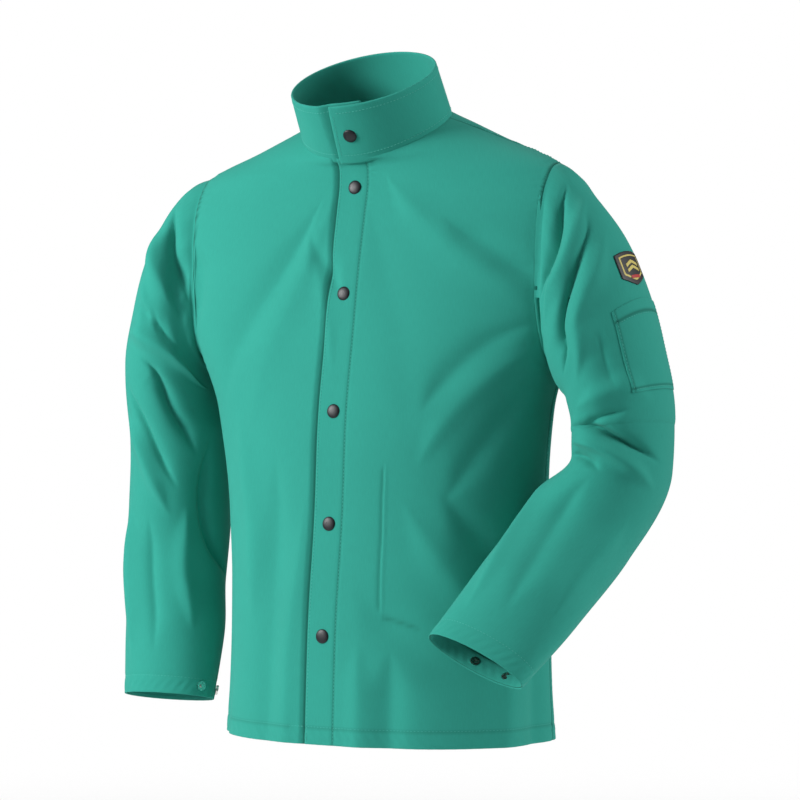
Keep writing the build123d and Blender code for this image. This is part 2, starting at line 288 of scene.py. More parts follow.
def ripple(a: Grid, b: Grid, seed: int, scale: float, waves: int = 7) -> Grid:
    """Gentle unevenness of cloth, from a few crossing waves.

    Args:
        a: First coordinate in millimetres.
        b: Second coordinate in millimetres.
        seed: Picks the waves.
        scale: Shortest wave in millimetres.
        waves: How many waves.

    Returns:
        A value about -1 to 1.
    """
    rng = np.random.default_rng(seed)
    total = np.zeros(np.broadcast(a, b).shape)
    for _ in range(waves):
        turn, phase = rng.uniform(0, math.tau, 2)
        long = scale * rng.uniform(1.0, 3.0)
        total = total + np.sin((a * math.cos(turn) + b * math.sin(turn)) / long * math.tau + phase)
    return total / waves * 1.6


class Surface:
    """Cloth surface in two coordinates, with its folds."""

    folds: tuple[Fold, ...] = ()

    def form(self, u: Grid, v: Grid) -> Grid:
        """Smooth form under the folds, in millimetres."""
        raise NotImplementedError

    def lift(self, u: Grid, v: Grid) -> Grid:
        """How far the folds stand out, in millimetres."""
        raise NotImplementedError

    def normal(self, u: Grid, v: Grid, at: Callable[[Grid, Grid], Grid]) -> Grid:
        """Outward direction of a form.

        Args:
            u: Angle around, in radians.
            v: Place along, 0 to 1.
            at: The form or the finished surface.

        Returns:
            Unit vectors.
        """
        step = np.where(v < 0.5, 1e-3, -1e-3)
        here = at(u, v)
        across = at(u + 1e-3, v) - here
        up = (at(u, v + step) - here) * np.sign(step)[..., None]
        return unit(np.cross(across, up))

    def skin(self, u: Grid, v: Grid, depth: Grid | float = 0.0) -> Grid:
        """Points of the folded surface.

        Args:
            u: Angle around, in radians.
            v: Place along, 0 to 1.
            depth: Millimetres below the surface.

        Returns:
            Points in millimetres.
        """
        u, v = np.broadcast_arrays(np.asarray(u, float), np.asarray(v, float))
        out = self.normal(u, v, self.form)
        return self.form(u, v) + out * (self.lift(u, v) - depth)[..., None]


class OvalSurface(Surface):
    """Body or collar of the jacket: ovals at rising heights."""

    GIRTH = 190.0

    def __init__(self, rows: Sequence[Sequence[float]], folds: tuple[Fold, ...] = (),
                 unevenness: float = 0.0) -> None:
        """Takes the rings and folds; a fold's path is in millimetres of girth and height.

        Args:
            rows: Rings from the lowest up.
            folds: Folds in the cloth.
            unevenness: Height of the gentle waves, in millimetres.
        """
        self.rings = Rings(rows, slice(0, 4))
        self.folds = folds
        self.unevenness = unevenness

    def form(self, u: Grid, v: Grid) -> Grid:
        """Smooth form under the folds, in millimetres.

        Args:
            u: Angles around, in radians.
            v: Places along, 0 to 1.

        Returns:
            Points in millimetres.
        """
        z, half, front, back, x0, y0, slope, curve, power = np.moveaxis(self.rings.at(v), -1, 0)
        s, c = np.sin(u), np.cos(u)
        deep = np.where(c > 0, front, back)
        r = (np.abs(s / half) ** power + np.abs(c / deep) ** power) ** (-1 / power)
        x, y = x0 + r * s, y0 - r * c
        return np.stack([x, y, z + slope * (y - y0) + curve * (y - y0) ** 2], -1)

    def lift(self, u: Grid, v: Grid) -> Grid:
        """How far the folds stand out, in millimetres.

        Args:
            u: Angles around, in radians.
            v: Places along, 0 to 1.

        Returns:
            Millimetres outward.
        """
        a = (np.mod(u + math.pi, math.tau) - math.pi) * self.GIRTH
        b = self.form(u, v)[..., 2]
        total = folded(self.folds, a, b)
        if self.unevenness:
            total = total + self.unevenness * ripple(a, b, 4, 120.0) * ease(np.abs(a) / 60)
            total = (total + self.seams(u, v)) * (1 - ease((v - 0.95) / 0.045))
        return total

    def painted_shade(self, u: Grid, v: Grid) -> Grid:
        """Painted shade along the seams, stitch lines, hem, armholes and the inside pocket's stitching, 0 to
        1.

        Args:
            u: Angles around, in radians.
            v: Places along, 0 to 1.

        Returns:
            Shade at each place.
        """
        x = self.form(u, v)[..., 0]
        front = np.cos(u) > 0
        side = (np.abs(np.mod(u + math.pi, math.tau) - math.pi) - SEAM) * self.GIRTH
        low = v * self.rings.length
        a = np.mod(u + math.pi, math.tau) * self.GIRTH - math.pi * self.GIRTH
        pocket = np.clip(-folded(POCKET_FOLDS, a, self.form(u, v)[..., 2]), 0, 1)
        # Painted shade: darker bands in the grooves of the placket stitching, side seams, hem stitching,
        # inside pocket stitching and armhole seams.
        return np.clip(0.55 * bell((x - PLACKET_STITCH) / 1.3) * front + 0.5 * bell(side / 1.6)
                       + 0.4 * bell((low - HEM_STITCH) / 1.3) + 0.45 * pocket
                       + 0.85 * bell((np.abs(x) - ARMHOLE) / 2.4), 0, 1)

    def seams(self, u: Grid, v: Grid) -> Grid:
        """Dips and puckers that the seams pull into the cloth, in millimetres.

        Args:
            u: Angles around, in radians.
            v: Places along, 0 to 1.

        Returns:
            Millimetres outward.
        """
        x, _, z = np.moveaxis(self.form(u, v), -1, 0)
        front = np.cos(u) > 0
        line = np.where(front, x - PLACKET_STITCH, 99.0)
        total = -0.7 * bell(line / 2.0) + 0.35 * np.sin(z / 1.15 + np.sin(z / 9)) * bell((line - 4) / 6)
        side = (np.abs(np.mod(u + math.pi, math.tau) - math.pi) - SEAM) * self.GIRTH
        total = total - 1.1 * bell(side / 2.2) + 0.4 * np.sin(z / 1.4) * bell((side - 5) / 6)
        rise = v * self.rings.length
        a = u * self.GIRTH
        total = total - 0.6 * bell((rise - HEM_STITCH) / 2.2)
        total = total + 0.4 * np.sin((a + rise) / 2.2) * bell((rise - HEM_STITCH / 2) / 7)
        near = np.abs(np.abs(x) - ARMHOLE)
        return total - 0.5 * bell((near - 6) / 2.0) + 0.35 * np.sin(z / 1.6) * bell((near - 10) / 6)

    def angle_at(self, x: Grid | float, v: Grid) -> Grid:
        """Angle at which the front half reaches x.

        Args:
            x: Millimetres from the centre plane.
            v: Place along, 0 to 1.

        Returns:
            Angles in radians.
        """
        x, v = np.broadcast_arrays(np.asarray(x, float), np.asarray(v, float))
        low, high = np.full(v.shape, -math.pi / 2), np.full(v.shape, math.pi / 2)
        for _ in range(32):
            mid = (low + high) / 2
            under = self.form(mid, v)[..., 0] < x
            low, high = np.where(under, mid, low), np.where(under, high, mid)
        return (low + high) / 2

    def place(self, x: float, z: float) -> float:
        """Place along the front where x reaches height z.

        Args:
            x: Millimetres from the centre plane.
            z: Height in millimetres.

        Returns:
            Place along, 0 to 1.
        """
        low, high = 0.0, 1.0
        for _ in range(30):
            mid = (low + high) / 2
            v = np.array(mid)
            below = self.form(self.angle_at(x, v), v)[..., 2] < z
            low, high = (mid, high) if below else (low, mid)
        return (low + high) / 2


class SleeveSurface(Surface):
    """Sleeve: ovals along an arm, growing out of the armhole."""

    GIRTH = 66.0

    def __init__(self, rows: Sequence[Sequence[float]], side: Side, body: OvalSurface,
                 folds: tuple[Fold, ...] = ()) -> None:
        """Takes the rings, the arm and the body whose armhole the sleeve fills.

        Args:
            rows: Rings from the armhole to the cuff.
            side: Which arm it is.
            body: The body that the sleeve grows from.
            folds: Folds in the cloth.
        """
        self.rings = Rings(rows, slice(0, 3))
        self.side, self.folds = side, folds
        self.hole = self.armhole(body)

    def armhole(self, body: OvalSurface) -> tuple[Grid, Grid]:
        """Outline that the body leaves at the armhole, as angle and radius from its centre.

        Args:
            body: The body that the sleeve grows from.

        Returns:
            Angles and radii, the radii as shares of the first ring.
        """
        v = np.linspace(0.3, 0.98, 500)[:, None]
        sign = self.side.value
        u = np.linspace(0.35, math.pi - 0.25, 500)[None, :] * sign
        p = body.skin(u, v)
        beyond = p[..., 0] * sign > ARMHOLE
        edge = beyond[:, 1:] != beyond[:, :-1]
        p = p[:, 1:][edge]
        along, c, q = self.rings.rows[0][3:6], self.rings.rows[0][0:3], self.rings.rows[0][6:8]
        across, deep = self.axes(np.array(along)[None])
        a, d = ((p - c) @ across[0]) / q[0], ((p - c) @ deep[0]) / q[1]
        angle = np.mod(np.arctan2(d, a), math.tau)
        order = np.argsort(angle)
        angle, radius = angle[order], np.hypot(a, d)[order]
        bins = np.linspace(0, math.tau, 73)
        found = []
        for low, high in zip(bins, bins[1:]):
            here = (angle >= low) & (angle < high)
            if here.any():
                found.append(((high + low) / 2, np.median(radius[here])))
        middle, median = np.array(found).T
        return middle, median

    @staticmethod
    def axes(along: Grid) -> tuple[Grid, Grid]:
        """Across and depth axes of rings that face along.

        Args:
            along: Directions of the arm.

        Returns:
            Unit vectors across the arm and through its depth.
        """
        along = unit(along)
        deep = unit(np.array([0.0, 1.0, 0.0]) - along * along[..., 1:2])
        return np.cross(deep, along), deep

    def form(self, u: Grid, v: Grid) -> Grid:
        """Smooth form under the folds, in millimetres.

        Args:
            u: Angles around, in radians.
            v: Places along, 0 to 1.

        Returns:
            Points in millimetres.
        """
        n = self.rings.at(v)
        across, deep = self.axes(n[..., 3:6])
        swell = np.interp(np.mod(u, math.tau), *self.hole, period=math.tau)
        fade = 1 - ease(v / self.rings.mark(2))
        size = 1 + (swell - 1) * fade
        c, d = (np.cos(u) * n[..., 6] * size)[..., None], (np.sin(u) * n[..., 7] * size)[..., None]
        return n[..., 0:3] + across * c + deep * d

    def lift(self, u: Grid, v: Grid) -> Grid:
        """How far the folds stand out, in millimetres.

        Args:
            u: Angles around, in radians.
            v: Places along, 0 to 1.

        Returns:
            Millimetres outward.
        """
        a = np.mod(u, math.tau) * self.GIRTH
        b = v * self.rings.length
        total = np.zeros(np.broadcast(a, b).shape)
        turn = math.tau * self.GIRTH
        for shift in (-turn, 0.0, turn):
            total = total + folded(self.folds, a + shift, b)
        total = total + 1.0 * ripple(a, b, 7 + self.side.value, 90.0) * ease(b / 60)
        total = total - 1.6 * bell(b / 3.5) + 1.3 * bell((b - 13) / 7) * (1 + 0.3 * np.sin(a / 3.1))
        left = self.rings.length - b
        total = total - 0.6 * bell((left - HEM_STITCH) / 2.2)
        return total + 0.4 * np.sin((a + left) / 2.2) * bell((left - HEM_STITCH / 2) / 7)


# ---------------------------------------------------------------- meshes

EDGE_TURNS = (45, 90, 135)         # degrees at which a rounded cloth edge has a line of points


def clear_selection() -> None:
    """Leaves edit mode and deselects everything."""
    if bpy.context.mode != "OBJECT":
        bpy.ops.object.mode_set(mode="OBJECT")
    bpy.ops.object.select_all(action="DESELECT")


def activate(obj: bpy.types.Object) -> bpy.types.Object:
    """Makes one object the only one selected, and active.

    Args:
        obj: The object.

    Returns:
        The same object.
    """
    clear_selection()
    obj.select_set(True)
    bpy.context.view_layer.objects.active = obj
    return obj


def smooth_shaded(obj: bpy.types.Object, degrees: float = 40.0) -> bpy.types.Object:
    """Smooth shading with sharp edges kept above an angle.

    Args:
        obj: The object.
        degrees: Angle above which an edge stays sharp.

    Returns:
        The same object.
    """
    activate(obj)
    bpy.ops.object.shade_smooth_by_angle(angle=math.radians(degrees))
    return obj


@dataclass
class Mesh:
    """Points, faces, cloth coordinates, bend weights and painted shade of a piece being built."""

    points: list[Grid] = field(default_factory=list)
    faces: list[Grid] = field(default_factory=list)
    coords: list[Grid] = field(default_factory=list)
    weights: list[Grid] = field(default_factory=list)
    painted_shades: list[Grid] = field(default_factory=list)
    count: int = 0

    def add(self, points: Grid, faces: Grid, coords: Grid | None = None,
            weights: Grid | float = 0.0, painted_shades: Grid | float = 0.0) -> None:
        """Adds points and the faces between them.

        Args:
            points: Points in millimetres, shape (n, 3).
            faces: Corner numbers of four-sided faces, shape (m, 4).
            coords: Cloth coordinates in metres, shape (n, 2).
            weights: How far each point follows the moving body.
            painted_shades: How dark the painted shade is at each point, 0 to 1.
        """
        n = len(points)
        self.points.append(points)
        self.faces.append(faces + self.count)
        self.coords.append(np.zeros((n, 2)) if coords is None else coords)
        self.weights.append(np.broadcast_to(np.asarray(weights, float), (n,)))
        self.painted_shades.append(np.broadcast_to(np.asarray(painted_shades, float), (n,)))
        self.count += n

    def build(self, name: str) -> bpy.types.Object:
        """Makes the Blender object, in metres at the origin.

        Args:
            name: Name of the object and its mesh.

        Returns:
            The object.
        """
        mesh = bpy.data.meshes.new(name)
        points = np.vstack(self.points) * MM
        faces = np.vstack(self.faces)
        mesh.from_pydata(points.tolist(), [], faces.tolist())
        mesh.validate()
        uv = mesh.uv_layers.new(name="Cloth")
        corner = np.zeros(len(mesh.loops), dtype=np.int32)
        mesh.loops.foreach_get("vertex_index", corner)
        uv.data.foreach_set("uv", np.vstack(self.coords)[corner].astype(np.float32).ravel())
        # The bend weights and the painted shade go in as point attributes; the cloth material darkens by the
        # painted shade.
        for label, values in (("bend", self.weights), ("painted_shade", self.painted_shades)):
            attribute = mesh.attributes.new(label, "FLOAT", "POINT")
            attribute.data.foreach_set("value", np.concatenate(values).astype(np.float32))
        obj = bpy.data.objects.new(name, mesh)
        bpy.context.scene.collection.objects.link(obj)
        mesh.shade_smooth()
        return obj


def grid_faces(rows: int, cols: int, closed: bool = False) -> Grid:
    """Four-sided faces of a grid, facing along columns cross rows.

    Args:
        rows: Rows of points.
        cols: Columns of points.
        closed: Whether the last column joins the first.

    Returns:
        Corner numbers, shape (n, 4).
    """
    i, j = np.meshgrid(np.arange(rows - 1), np.arange(cols if closed else cols - 1), indexing="ij")
    k = (j + 1) % cols
    return np.stack([i * cols + j, i * cols + k, (i + 1) * cols + k, (i + 1) * cols + j], -1).reshape(-1, 4)


def grid_normals(p: Grid, closed: bool = False) -> Grid:
    """Outward normals of a grid of points.

    Args:
        p: Points, shape (rows, columns, 3).
        closed: Whether the last column joins the first.

    Returns:
        Unit vectors, one for each point.
    """
    if closed:
        across = np.roll(p, -1, 1) - np.roll(p, 1, 1)
    else:
        across = np.gradient(p, axis=1)
    return unit(np.cross(across, np.gradient(p, axis=0)))


def cloth_coords(p: Grid) -> Grid:
    """Lengths along the cloth in both directions, in metres.

    Args:
        p: Points in millimetres, shape (rows, columns, 3).

    Returns:
        Coordinates, shape (rows, columns, 2).
    """
    across = np.linalg.norm(np.diff(p, axis=1), axis=-1)
    u = np.concatenate([np.zeros((len(p), 1)), np.cumsum(across, 1)], 1)
    u -= u[:, u.shape[1] // 2][:, None]
    along = np.linalg.norm(np.diff(p, axis=0), axis=-1).mean(1)
    v = np.concatenate([[0.0], np.cumsum(along)])[:, None] + np.zeros_like(u)
    return np.stack([u, v], -1) * MM


def add_shell(mesh: Mesh, p: Grid, thick: float, weights: Grid | float = 0.0,
              closed: bool = False, painted_shades: Grid | float = 0.0) -> None:
    """Adds cloth with both faces and rounded edges to a mesh.

    Args:
        mesh: The mesh that grows.
        p: Grid of outer points in millimetres.
        thick: Thickness in millimetres.
        weights: How far each point follows the moving body.
        closed: Whether the last column joins the first.
        painted_shades: How dark the painted shade is at each point of the outer face and edges, 0 to 1.
    """
    rows, cols = p.shape[:2]
    n = grid_normals(p, closed)
    uv = cloth_coords(p).reshape(-1, 2)
    w = np.broadcast_to(np.asarray(weights, float), (rows, cols)).ravel()
    # Painted shade of each outer point; the inside face gets none.
    deep = np.broadcast_to(np.asarray(painted_shades, float), (rows, cols)).ravel()
    faces = grid_faces(rows, cols, closed)
    base = mesh.count
    mesh.add(p.reshape(-1, 3), faces, uv, w, deep)
    mesh.add((p - n * thick).reshape(-1, 3), faces[:, ::-1], uv, w)
    index = np.arange(rows * cols).reshape(rows, cols)
    along = np.gradient(p, axis=0)
    away = np.zeros_like(p)
    away[0] -= unit(along[0])
    away[-1] += unit(along[-1])
    if closed:
        loops = [index[0], index[-1][::-1]]
    else:
        loops = [np.concatenate([index[0, :-1], index[:-1, -1], index[-1, :0:-1], index[:0:-1, 0]])]
        across = np.gradient(p, axis=1)
        away[:, 0] -= unit(across[:, 0])
        away[:, -1] += unit(across[:, -1])
    p, n, away = p.reshape(-1, 3), n.reshape(-1, 3), unit(away).reshape(-1, 3)
    for loop in loops:
        lines = [base + loop]
        for turn in np.radians(EDGE_TURNS):
            ring = (p[loop] - n[loop] * thick / 2 + n[loop] * math.cos(turn) * thick / 2
                    + away[loop] * math.sin(turn) * thick / 2)
            lines.append(mesh.count + np.arange(len(loop)))
            mesh.add(ring, np.zeros((0, 4), int), uv[loop], w[loop], deep[loop])
        lines.append(base + rows * cols + loop)
        for a, b in zip(lines, lines[1:]):
            mesh.faces.append(np.stack([np.roll(a, -1), a, b, np.roll(b, -1)], -1))


@dataclass
class Stitching:
    """Rows of lockstitch laid along a seam."""

    pitch: float = 4.2
    length: float = 3.2
    width: float = 0.9
    height: float = 0.55

    def along(self, mesh: Mesh, line: Grid, out: Grid, weights: Grid | float = 0.0) -> None:
        """Adds stitches along a line.

        Args:
            mesh: The mesh that grows.
            line: Points of the seam in millimetres.
            out: Outward directions there.
            weights: How far each point follows the moving body.
        """
        runs = np.concatenate([[0.0], np.cumsum(np.linalg.norm(np.diff(line, axis=0), axis=1))])
        count = int(runs[-1] / self.pitch)
        if count < 1:
            return
        w = np.broadcast_to(np.asarray(weights, float), (len(line),))
        middle = (np.arange(count) + 0.5) * self.pitch

        def read(values: Grid, at: Grid) -> Grid:
            """Values of a column-wise table at places along the seam."""
            return np.stack([np.interp(at, runs, values[:, k]) for k in range(values.shape[1])], -1)

        n = unit(read(out, middle))
        rings = []
        for step, size, lift in ((-0.5, 0.35, -0.15), (-0.25, 1.0, self.height),
                                 (0.25, 1.0, self.height), (0.5, 0.35, -0.15)):
            at = read(line, middle + step * self.length)
            ahead = unit(read(line, middle + 0.4) - read(line, middle - 0.4))
            side = unit(np.cross(ahead, n)) * self.width / 2 * size
            foot = n * min(lift, 0) - n * 0.2
            rings.append(np.stack([at - side + foot, at + n * lift, at + side + foot], 1))
        p = np.stack(rings, 1).reshape(count, 12, 3)
        faces = grid_faces(4, 3, closed=True)[:, ::-1]
        shift = (np.arange(count) * 12)[:, None, None]
        mesh.add(p.reshape(-1, 3), (faces[None] + shift).reshape(-1, 4), None,
                 np.repeat(np.interp(middle, runs, w), 12))


def bend(obj: bpy.types.Object, fixed: str, moving: str, start: Sequence[float],
         end: Sequence[float]) -> bpy.types.Object:
    """Lets a piece bend between two bodies by its own weights.

    Args:
        obj: The finished piece.
        fixed: Body meant for weight 0; not used.
        moving: Body meant for weight 1; not used.
        start: A point on the fixed side, in millimetres; not used.
        end: A point on the moving side, in millimetres; not used.

    Returns:
        The same piece.
    """
    count = len(obj.data.vertices)
    weight = np.zeros(count, np.float32)
    obj.data.attributes["bend"].data.foreach_get("value", weight)
    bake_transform(obj)
    return obj


# ---------------------------------------------------------------- finishes

def shared_group(name: str, inputs: Sequence[tuple[str, str, object]],
                 outputs: Sequence[tuple[str, str]]) -> tuple[bpy.types.NodeTree, object, object]:
    """Starts a node group with named sockets.

    Args:
        name: Name of the group.
        inputs: Name, socket type and default of each input.
        outputs: Name and socket type of each output.

    Returns:
        The group, its input node and its output node.
    """
    tree = bpy.data.node_groups.new(name, "ShaderNodeTree")
    for label, kind, default in inputs:
        socket = tree.interface.new_socket(label, in_out="INPUT", socket_type=kind)
        socket.default_value = default
    for label, kind in outputs:
        tree.interface.new_socket(label, in_out="OUTPUT", socket_type=kind)
    return tree, tree.nodes.new("NodeGroupInput"), tree.nodes.new("NodeGroupOutput")


class Nodes:
    """Shorthand for adding and joining shader nodes."""

    def __init__(self, tree: bpy.types.NodeTree) -> None:
        """Keeps the tree that the nodes go in."""
        self.tree = tree

    def add(self, kind: str, **values: object) -> bpy.types.Node:
        """Adds a node, setting its properties, or its inputs where a value is named so.

        Args:
            kind: Type of the node.
            values: Properties or inputs by name.

        Returns:
            The node.
        """
        node = self.tree.nodes.new(kind)
        for key, value in values.items():
            if hasattr(node, key):
                setattr(node, key, value)
            else:
                node.inputs[key.replace("_", " ")].default_value = value
        return node

    def join(self, a: object, b: object) -> None:
        """Joins an output socket to an input socket."""
        self.tree.links.new(a, b)

    def math(self, kind: str, a: object, b: object = 0.0) -> object:
        """Adds a Math node of sockets or numbers and gives its output.

        Args:
            kind: The operation.
            a: First socket or number.
            b: Second socket or number.

        Returns:
            The output socket.
        """
        node = self.tree.nodes.new("ShaderNodeMath")
        node.operation = kind
        for k, value in enumerate((a, b)):
            if hasattr(value, "links"):
                self.join(value, node.inputs[k])
            else:
                node.inputs[k].default_value = value
        return node.outputs[0]

    def mix(self, factor: object, a: object, b: object, blend: str = "MIX") -> object:
        """Adds a colour Mix node and gives its output.

        Args:
            factor: How much of the second colour shows.
            a: First colour.
            b: Second colour.
            blend: How they blend.

        Returns:
            The output socket.
        """
        node = self.tree.nodes.new("ShaderNodeMix")
        node.data_type, node.blend_type = "RGBA", blend
        for k, value in ((0, factor), (6, a), (7, b)):
            if hasattr(value, "links"):
                self.join(value, node.inputs[k])
            else:
                node.inputs[k].default_value = value
        return node.outputs[2]


def principled(name: str) -> tuple[bpy.types.Material, Nodes, bpy.types.NodeInputs]:
    """Starts a material and gives it with its nodes and its shader's inputs.

    Args:
        name: Name of the material.

    Returns:
        The material, its nodes and its shader's inputs.
    """
    material = bpy.data.materials.new(name)
    material.use_nodes = True
    return material, Nodes(material.node_tree), material.node_tree.nodes["Principled BSDF"].inputs


def cotton_twill_group() -> bpy.types.NodeTree:
    """Twill weave with yarn slubs, soft shade changes, a fine nap and painted shade in the seams."""
    tree, given, out = shared_group(
        "Cotton twill",
        (("Colour", "NodeSocketColor", (0.05, 0.4, 0.33, 1)), ("Weave per metre", "NodeSocketFloat", 760.0),
         ("Shade change", "NodeSocketFloat", 0.1), ("Roughness", "NodeSocketFloat", 0.88),
         ("Painted shade colour", "NodeSocketColor", (0.004, 0.08, 0.055, 1))),
        (("Colour", "NodeSocketColor"), ("Roughness", "NodeSocketFloat"), ("Height", "NodeSocketFloat")),
    )
    n = Nodes(tree)
    cloth = n.add("ShaderNodeUVMap", uv_map="Cloth")
    turned = n.add("ShaderNodeMapping", Rotation=(0, 0, math.radians(58)))
    n.join(cloth.outputs[0], turned.inputs["Vector"])
    twill = n.add("ShaderNodeTexWave", wave_type="BANDS", bands_direction="X", wave_profile="SIN",
                  Distortion=1.2, Detail=2.0)
    n.join(turned.outputs[0], twill.inputs["Vector"])
    n.join(n.math("MULTIPLY", given.outputs["Weave per metre"], 0.314), twill.inputs["Scale"])
    stretch = n.add("ShaderNodeMapping", Scale=(900, 90, 1))
    n.join(cloth.outputs[0], stretch.inputs["Vector"])
    slub = n.add("ShaderNodeTexNoise", Scale=1.0, Detail=3.0)
    n.join(stretch.outputs[0], slub.inputs["Vector"])
    place = n.add("ShaderNodeTexCoord")
    wide = n.add("ShaderNodeTexNoise", Scale=6.5, Detail=4.0)
    nap = n.add("ShaderNodeTexNoise", Scale=420.0, Detail=2.0)
    for noise in (wide, nap):
        n.join(place.outputs["Object"], noise.inputs["Vector"])
    change = n.math("MULTIPLY", n.math("SUBTRACT", wide.outputs["Fac"], 0.5), given.outputs["Shade change"])
    fine = n.math("MULTIPLY", n.math("SUBTRACT", slub.outputs["Fac"], 0.5), 0.16)
    woven = n.math("MULTIPLY", n.math("SUBTRACT", twill.outputs["Fac"], 0.5), 0.03)
    tone = n.math("ADD", n.math("ADD", change, fine), n.math("ADD", woven, 1.0))
    scaled = n.add("ShaderNodeVectorMath", operation="SCALE")
    n.join(given.outputs["Colour"], scaled.inputs[0])
    n.join(tone, scaled.inputs["Scale"])
    # Painted shade: the mesh's painted shade attribute blends the colour towards a dark green.
    painted_shade = n.add("ShaderNodeAttribute", attribute_name="painted_shade")
    shaded = n.mix(painted_shade.outputs["Fac"], scaled.outputs[0], given.outputs["Painted shade colour"])
    n.join(shaded, out.inputs["Colour"])
    rough = n.math("ADD", given.outputs["Roughness"], n.math("MULTIPLY", change, 0.4))
    n.join(rough, out.inputs["Roughness"])
    height = n.math("ADD", n.math("MULTIPLY", twill.outputs["Fac"], 0.5),
                    n.math("MULTIPLY", slub.outputs["Fac"], 0.8))
    n.join(n.math("ADD", height, n.math("MULTIPLY", nap.outputs["Fac"], 0.35)), out.inputs["Height"])
    return tree


def handling_group() -> bpy.types.NodeTree:
    """Faint scuffs for metal and enamel: a rougher, paler mask."""
    tree, given, out = shared_group(
        "Handling", (("Amount", "NodeSocketFloat", 0.3), ("Roughness", "NodeSocketFloat", 0.2)),
        (("Mask", "NodeSocketFloat"), ("Roughness", "NodeSocketFloat")))
    n = Nodes(tree)
    place = n.add("ShaderNodeTexCoord")
    spots = n.add("ShaderNodeTexNoise", Scale=260.0, Detail=5.0)
    n.join(place.outputs["Object"], spots.inputs["Vector"])
    mask = n.math("MULTIPLY", n.math("SUBTRACT", spots.outputs["Fac"], 0.42), given.outputs["Amount"])
    mask = n.math("MAXIMUM", mask, 0.0)
    n.join(mask, out.inputs["Mask"])
    n.join(n.math("ADD", given.outputs["Roughness"], mask), out.inputs["Roughness"])
    return tree


@dataclass(frozen=True)
class ClothFinish:
    """Dyed cotton cloth."""

    name: str
    colour: tuple[float, float, float]
    weave: float = 1250.0
    shade_change: float = 0.14
    roughness: float = 0.9
    sheen: float = 0.05
    bump: float = 0.22

    def make(self, twill: bpy.types.NodeTree) -> bpy.types.Material:
        """Builds the material around the shared weave group.

        Args:
            twill: The shared weave group.

        Returns:
            The material.
        """
        material, n, shader = principled(self.name)
        group = n.add("ShaderNodeGroup", node_tree=twill)
        group.inputs["Colour"].default_value = (*self.colour, 1)
        group.inputs["Weave per metre"].default_value = self.weave
        group.inputs["Shade change"].default_value = self.shade_change
        group.inputs["Roughness"].default_value = self.roughness
        n.join(group.outputs["Colour"], shader["Base Color"])
        n.join(group.outputs["Roughness"], shader["Roughness"])
        bump = n.add("ShaderNodeBump", Strength=self.bump, Distance=0.0003)
        n.join(group.outputs["Height"], bump.inputs["Height"])
        n.join(bump.outputs[0], shader["Normal"])
        shader["Sheen Weight"].default_value = self.sheen
        shader["Sheen Roughness"].default_value = 0.5
        shader["Specular IOR Level"].default_value = 0.12
        return material


@dataclass(frozen=True)
class HardFinish:
    """Enamel, plated metal or moulded rubber."""

    name: str
    colour: tuple[float, float, float]
    metallic: float = 0.0
    roughness: float = 0.2
    coat: float = 0.0
    scuffs: float = 0.4

    def make(self, handling: bpy.types.NodeTree) -> bpy.types.Material:
        """Builds the material around the shared handling group.

        Args:
            handling: The shared handling group.

        Returns:
            The material.
        """
        material, n, shader = principled(self.name)
        group = n.add("ShaderNodeGroup", node_tree=handling)
        group.inputs["Amount"].default_value = self.scuffs
        group.inputs["Roughness"].default_value = self.roughness
        pale = tuple(min(1.0, c + 0.12) for c in self.colour)
        n.join(n.mix(group.outputs["Mask"], (*self.colour, 1), (*pale, 1)), shader["Base Color"])
        n.join(group.outputs["Roughness"], shader["Roughness"])
        shader["Metallic"].default_value = self.metallic
        shader["Coat Weight"].default_value = self.coat
        shader["Coat Roughness"].default_value = 0.06
        return material


@dataclass
class Finishes:
    """Every finish of the jacket."""

    shell: bpy.types.Material
    thread: bpy.types.Material
    enamel: bpy.types.Material
    plated: bpy.types.Material
    rubber: bpy.types.Material
    yellow: bpy.types.Material
    red: bpy.types.Material

    @classmethod
    def make(cls) -> "Finishes":
        """Builds the shared groups once and places them in each material."""
        twill, handling = cotton_twill_group(), handling_group()
        return cls(
            shell=ClothFinish("Green cotton", (0.031, 0.325, 0.258)).make(twill),
            thread=ClothFinish("Green thread", (0.085, 0.47, 0.39), weave=2400, bump=0.2).make(twill),
            enamel=HardFinish("Black enamel", (0.003, 0.004, 0.008), roughness=0.45,
                              scuffs=0.02).make(handling),
            plated=HardFinish("Nickel plate", (0.62, 0.6, 0.57), metallic=1.0, roughness=0.22).make(handling),
            rubber=HardFinish("Black rubber", (0.018, 0.018, 0.02), roughness=0.5, scuffs=0.2).make(handling),
            yellow=HardFinish("Yellow rubber", (0.62, 0.52, 0.14), roughness=0.5, scuffs=0.2).make(handling),
            red=HardFinish("Red rubber", (0.45, 0.03, 0.03), roughness=0.5, scuffs=0.2).make(handling),
        )


def wear(obj: bpy.types.Object, material: bpy.types.Material) -> bpy.types.Object:
    """Dresses a piece in one material.

    Args:
        obj: The piece.
        material: The finish.

    Returns:
        The same piece.
    """
    obj.data.materials.clear()
    obj.data.materials.append(material)
    return obj


# ---------------------------------------------------------------- pieces

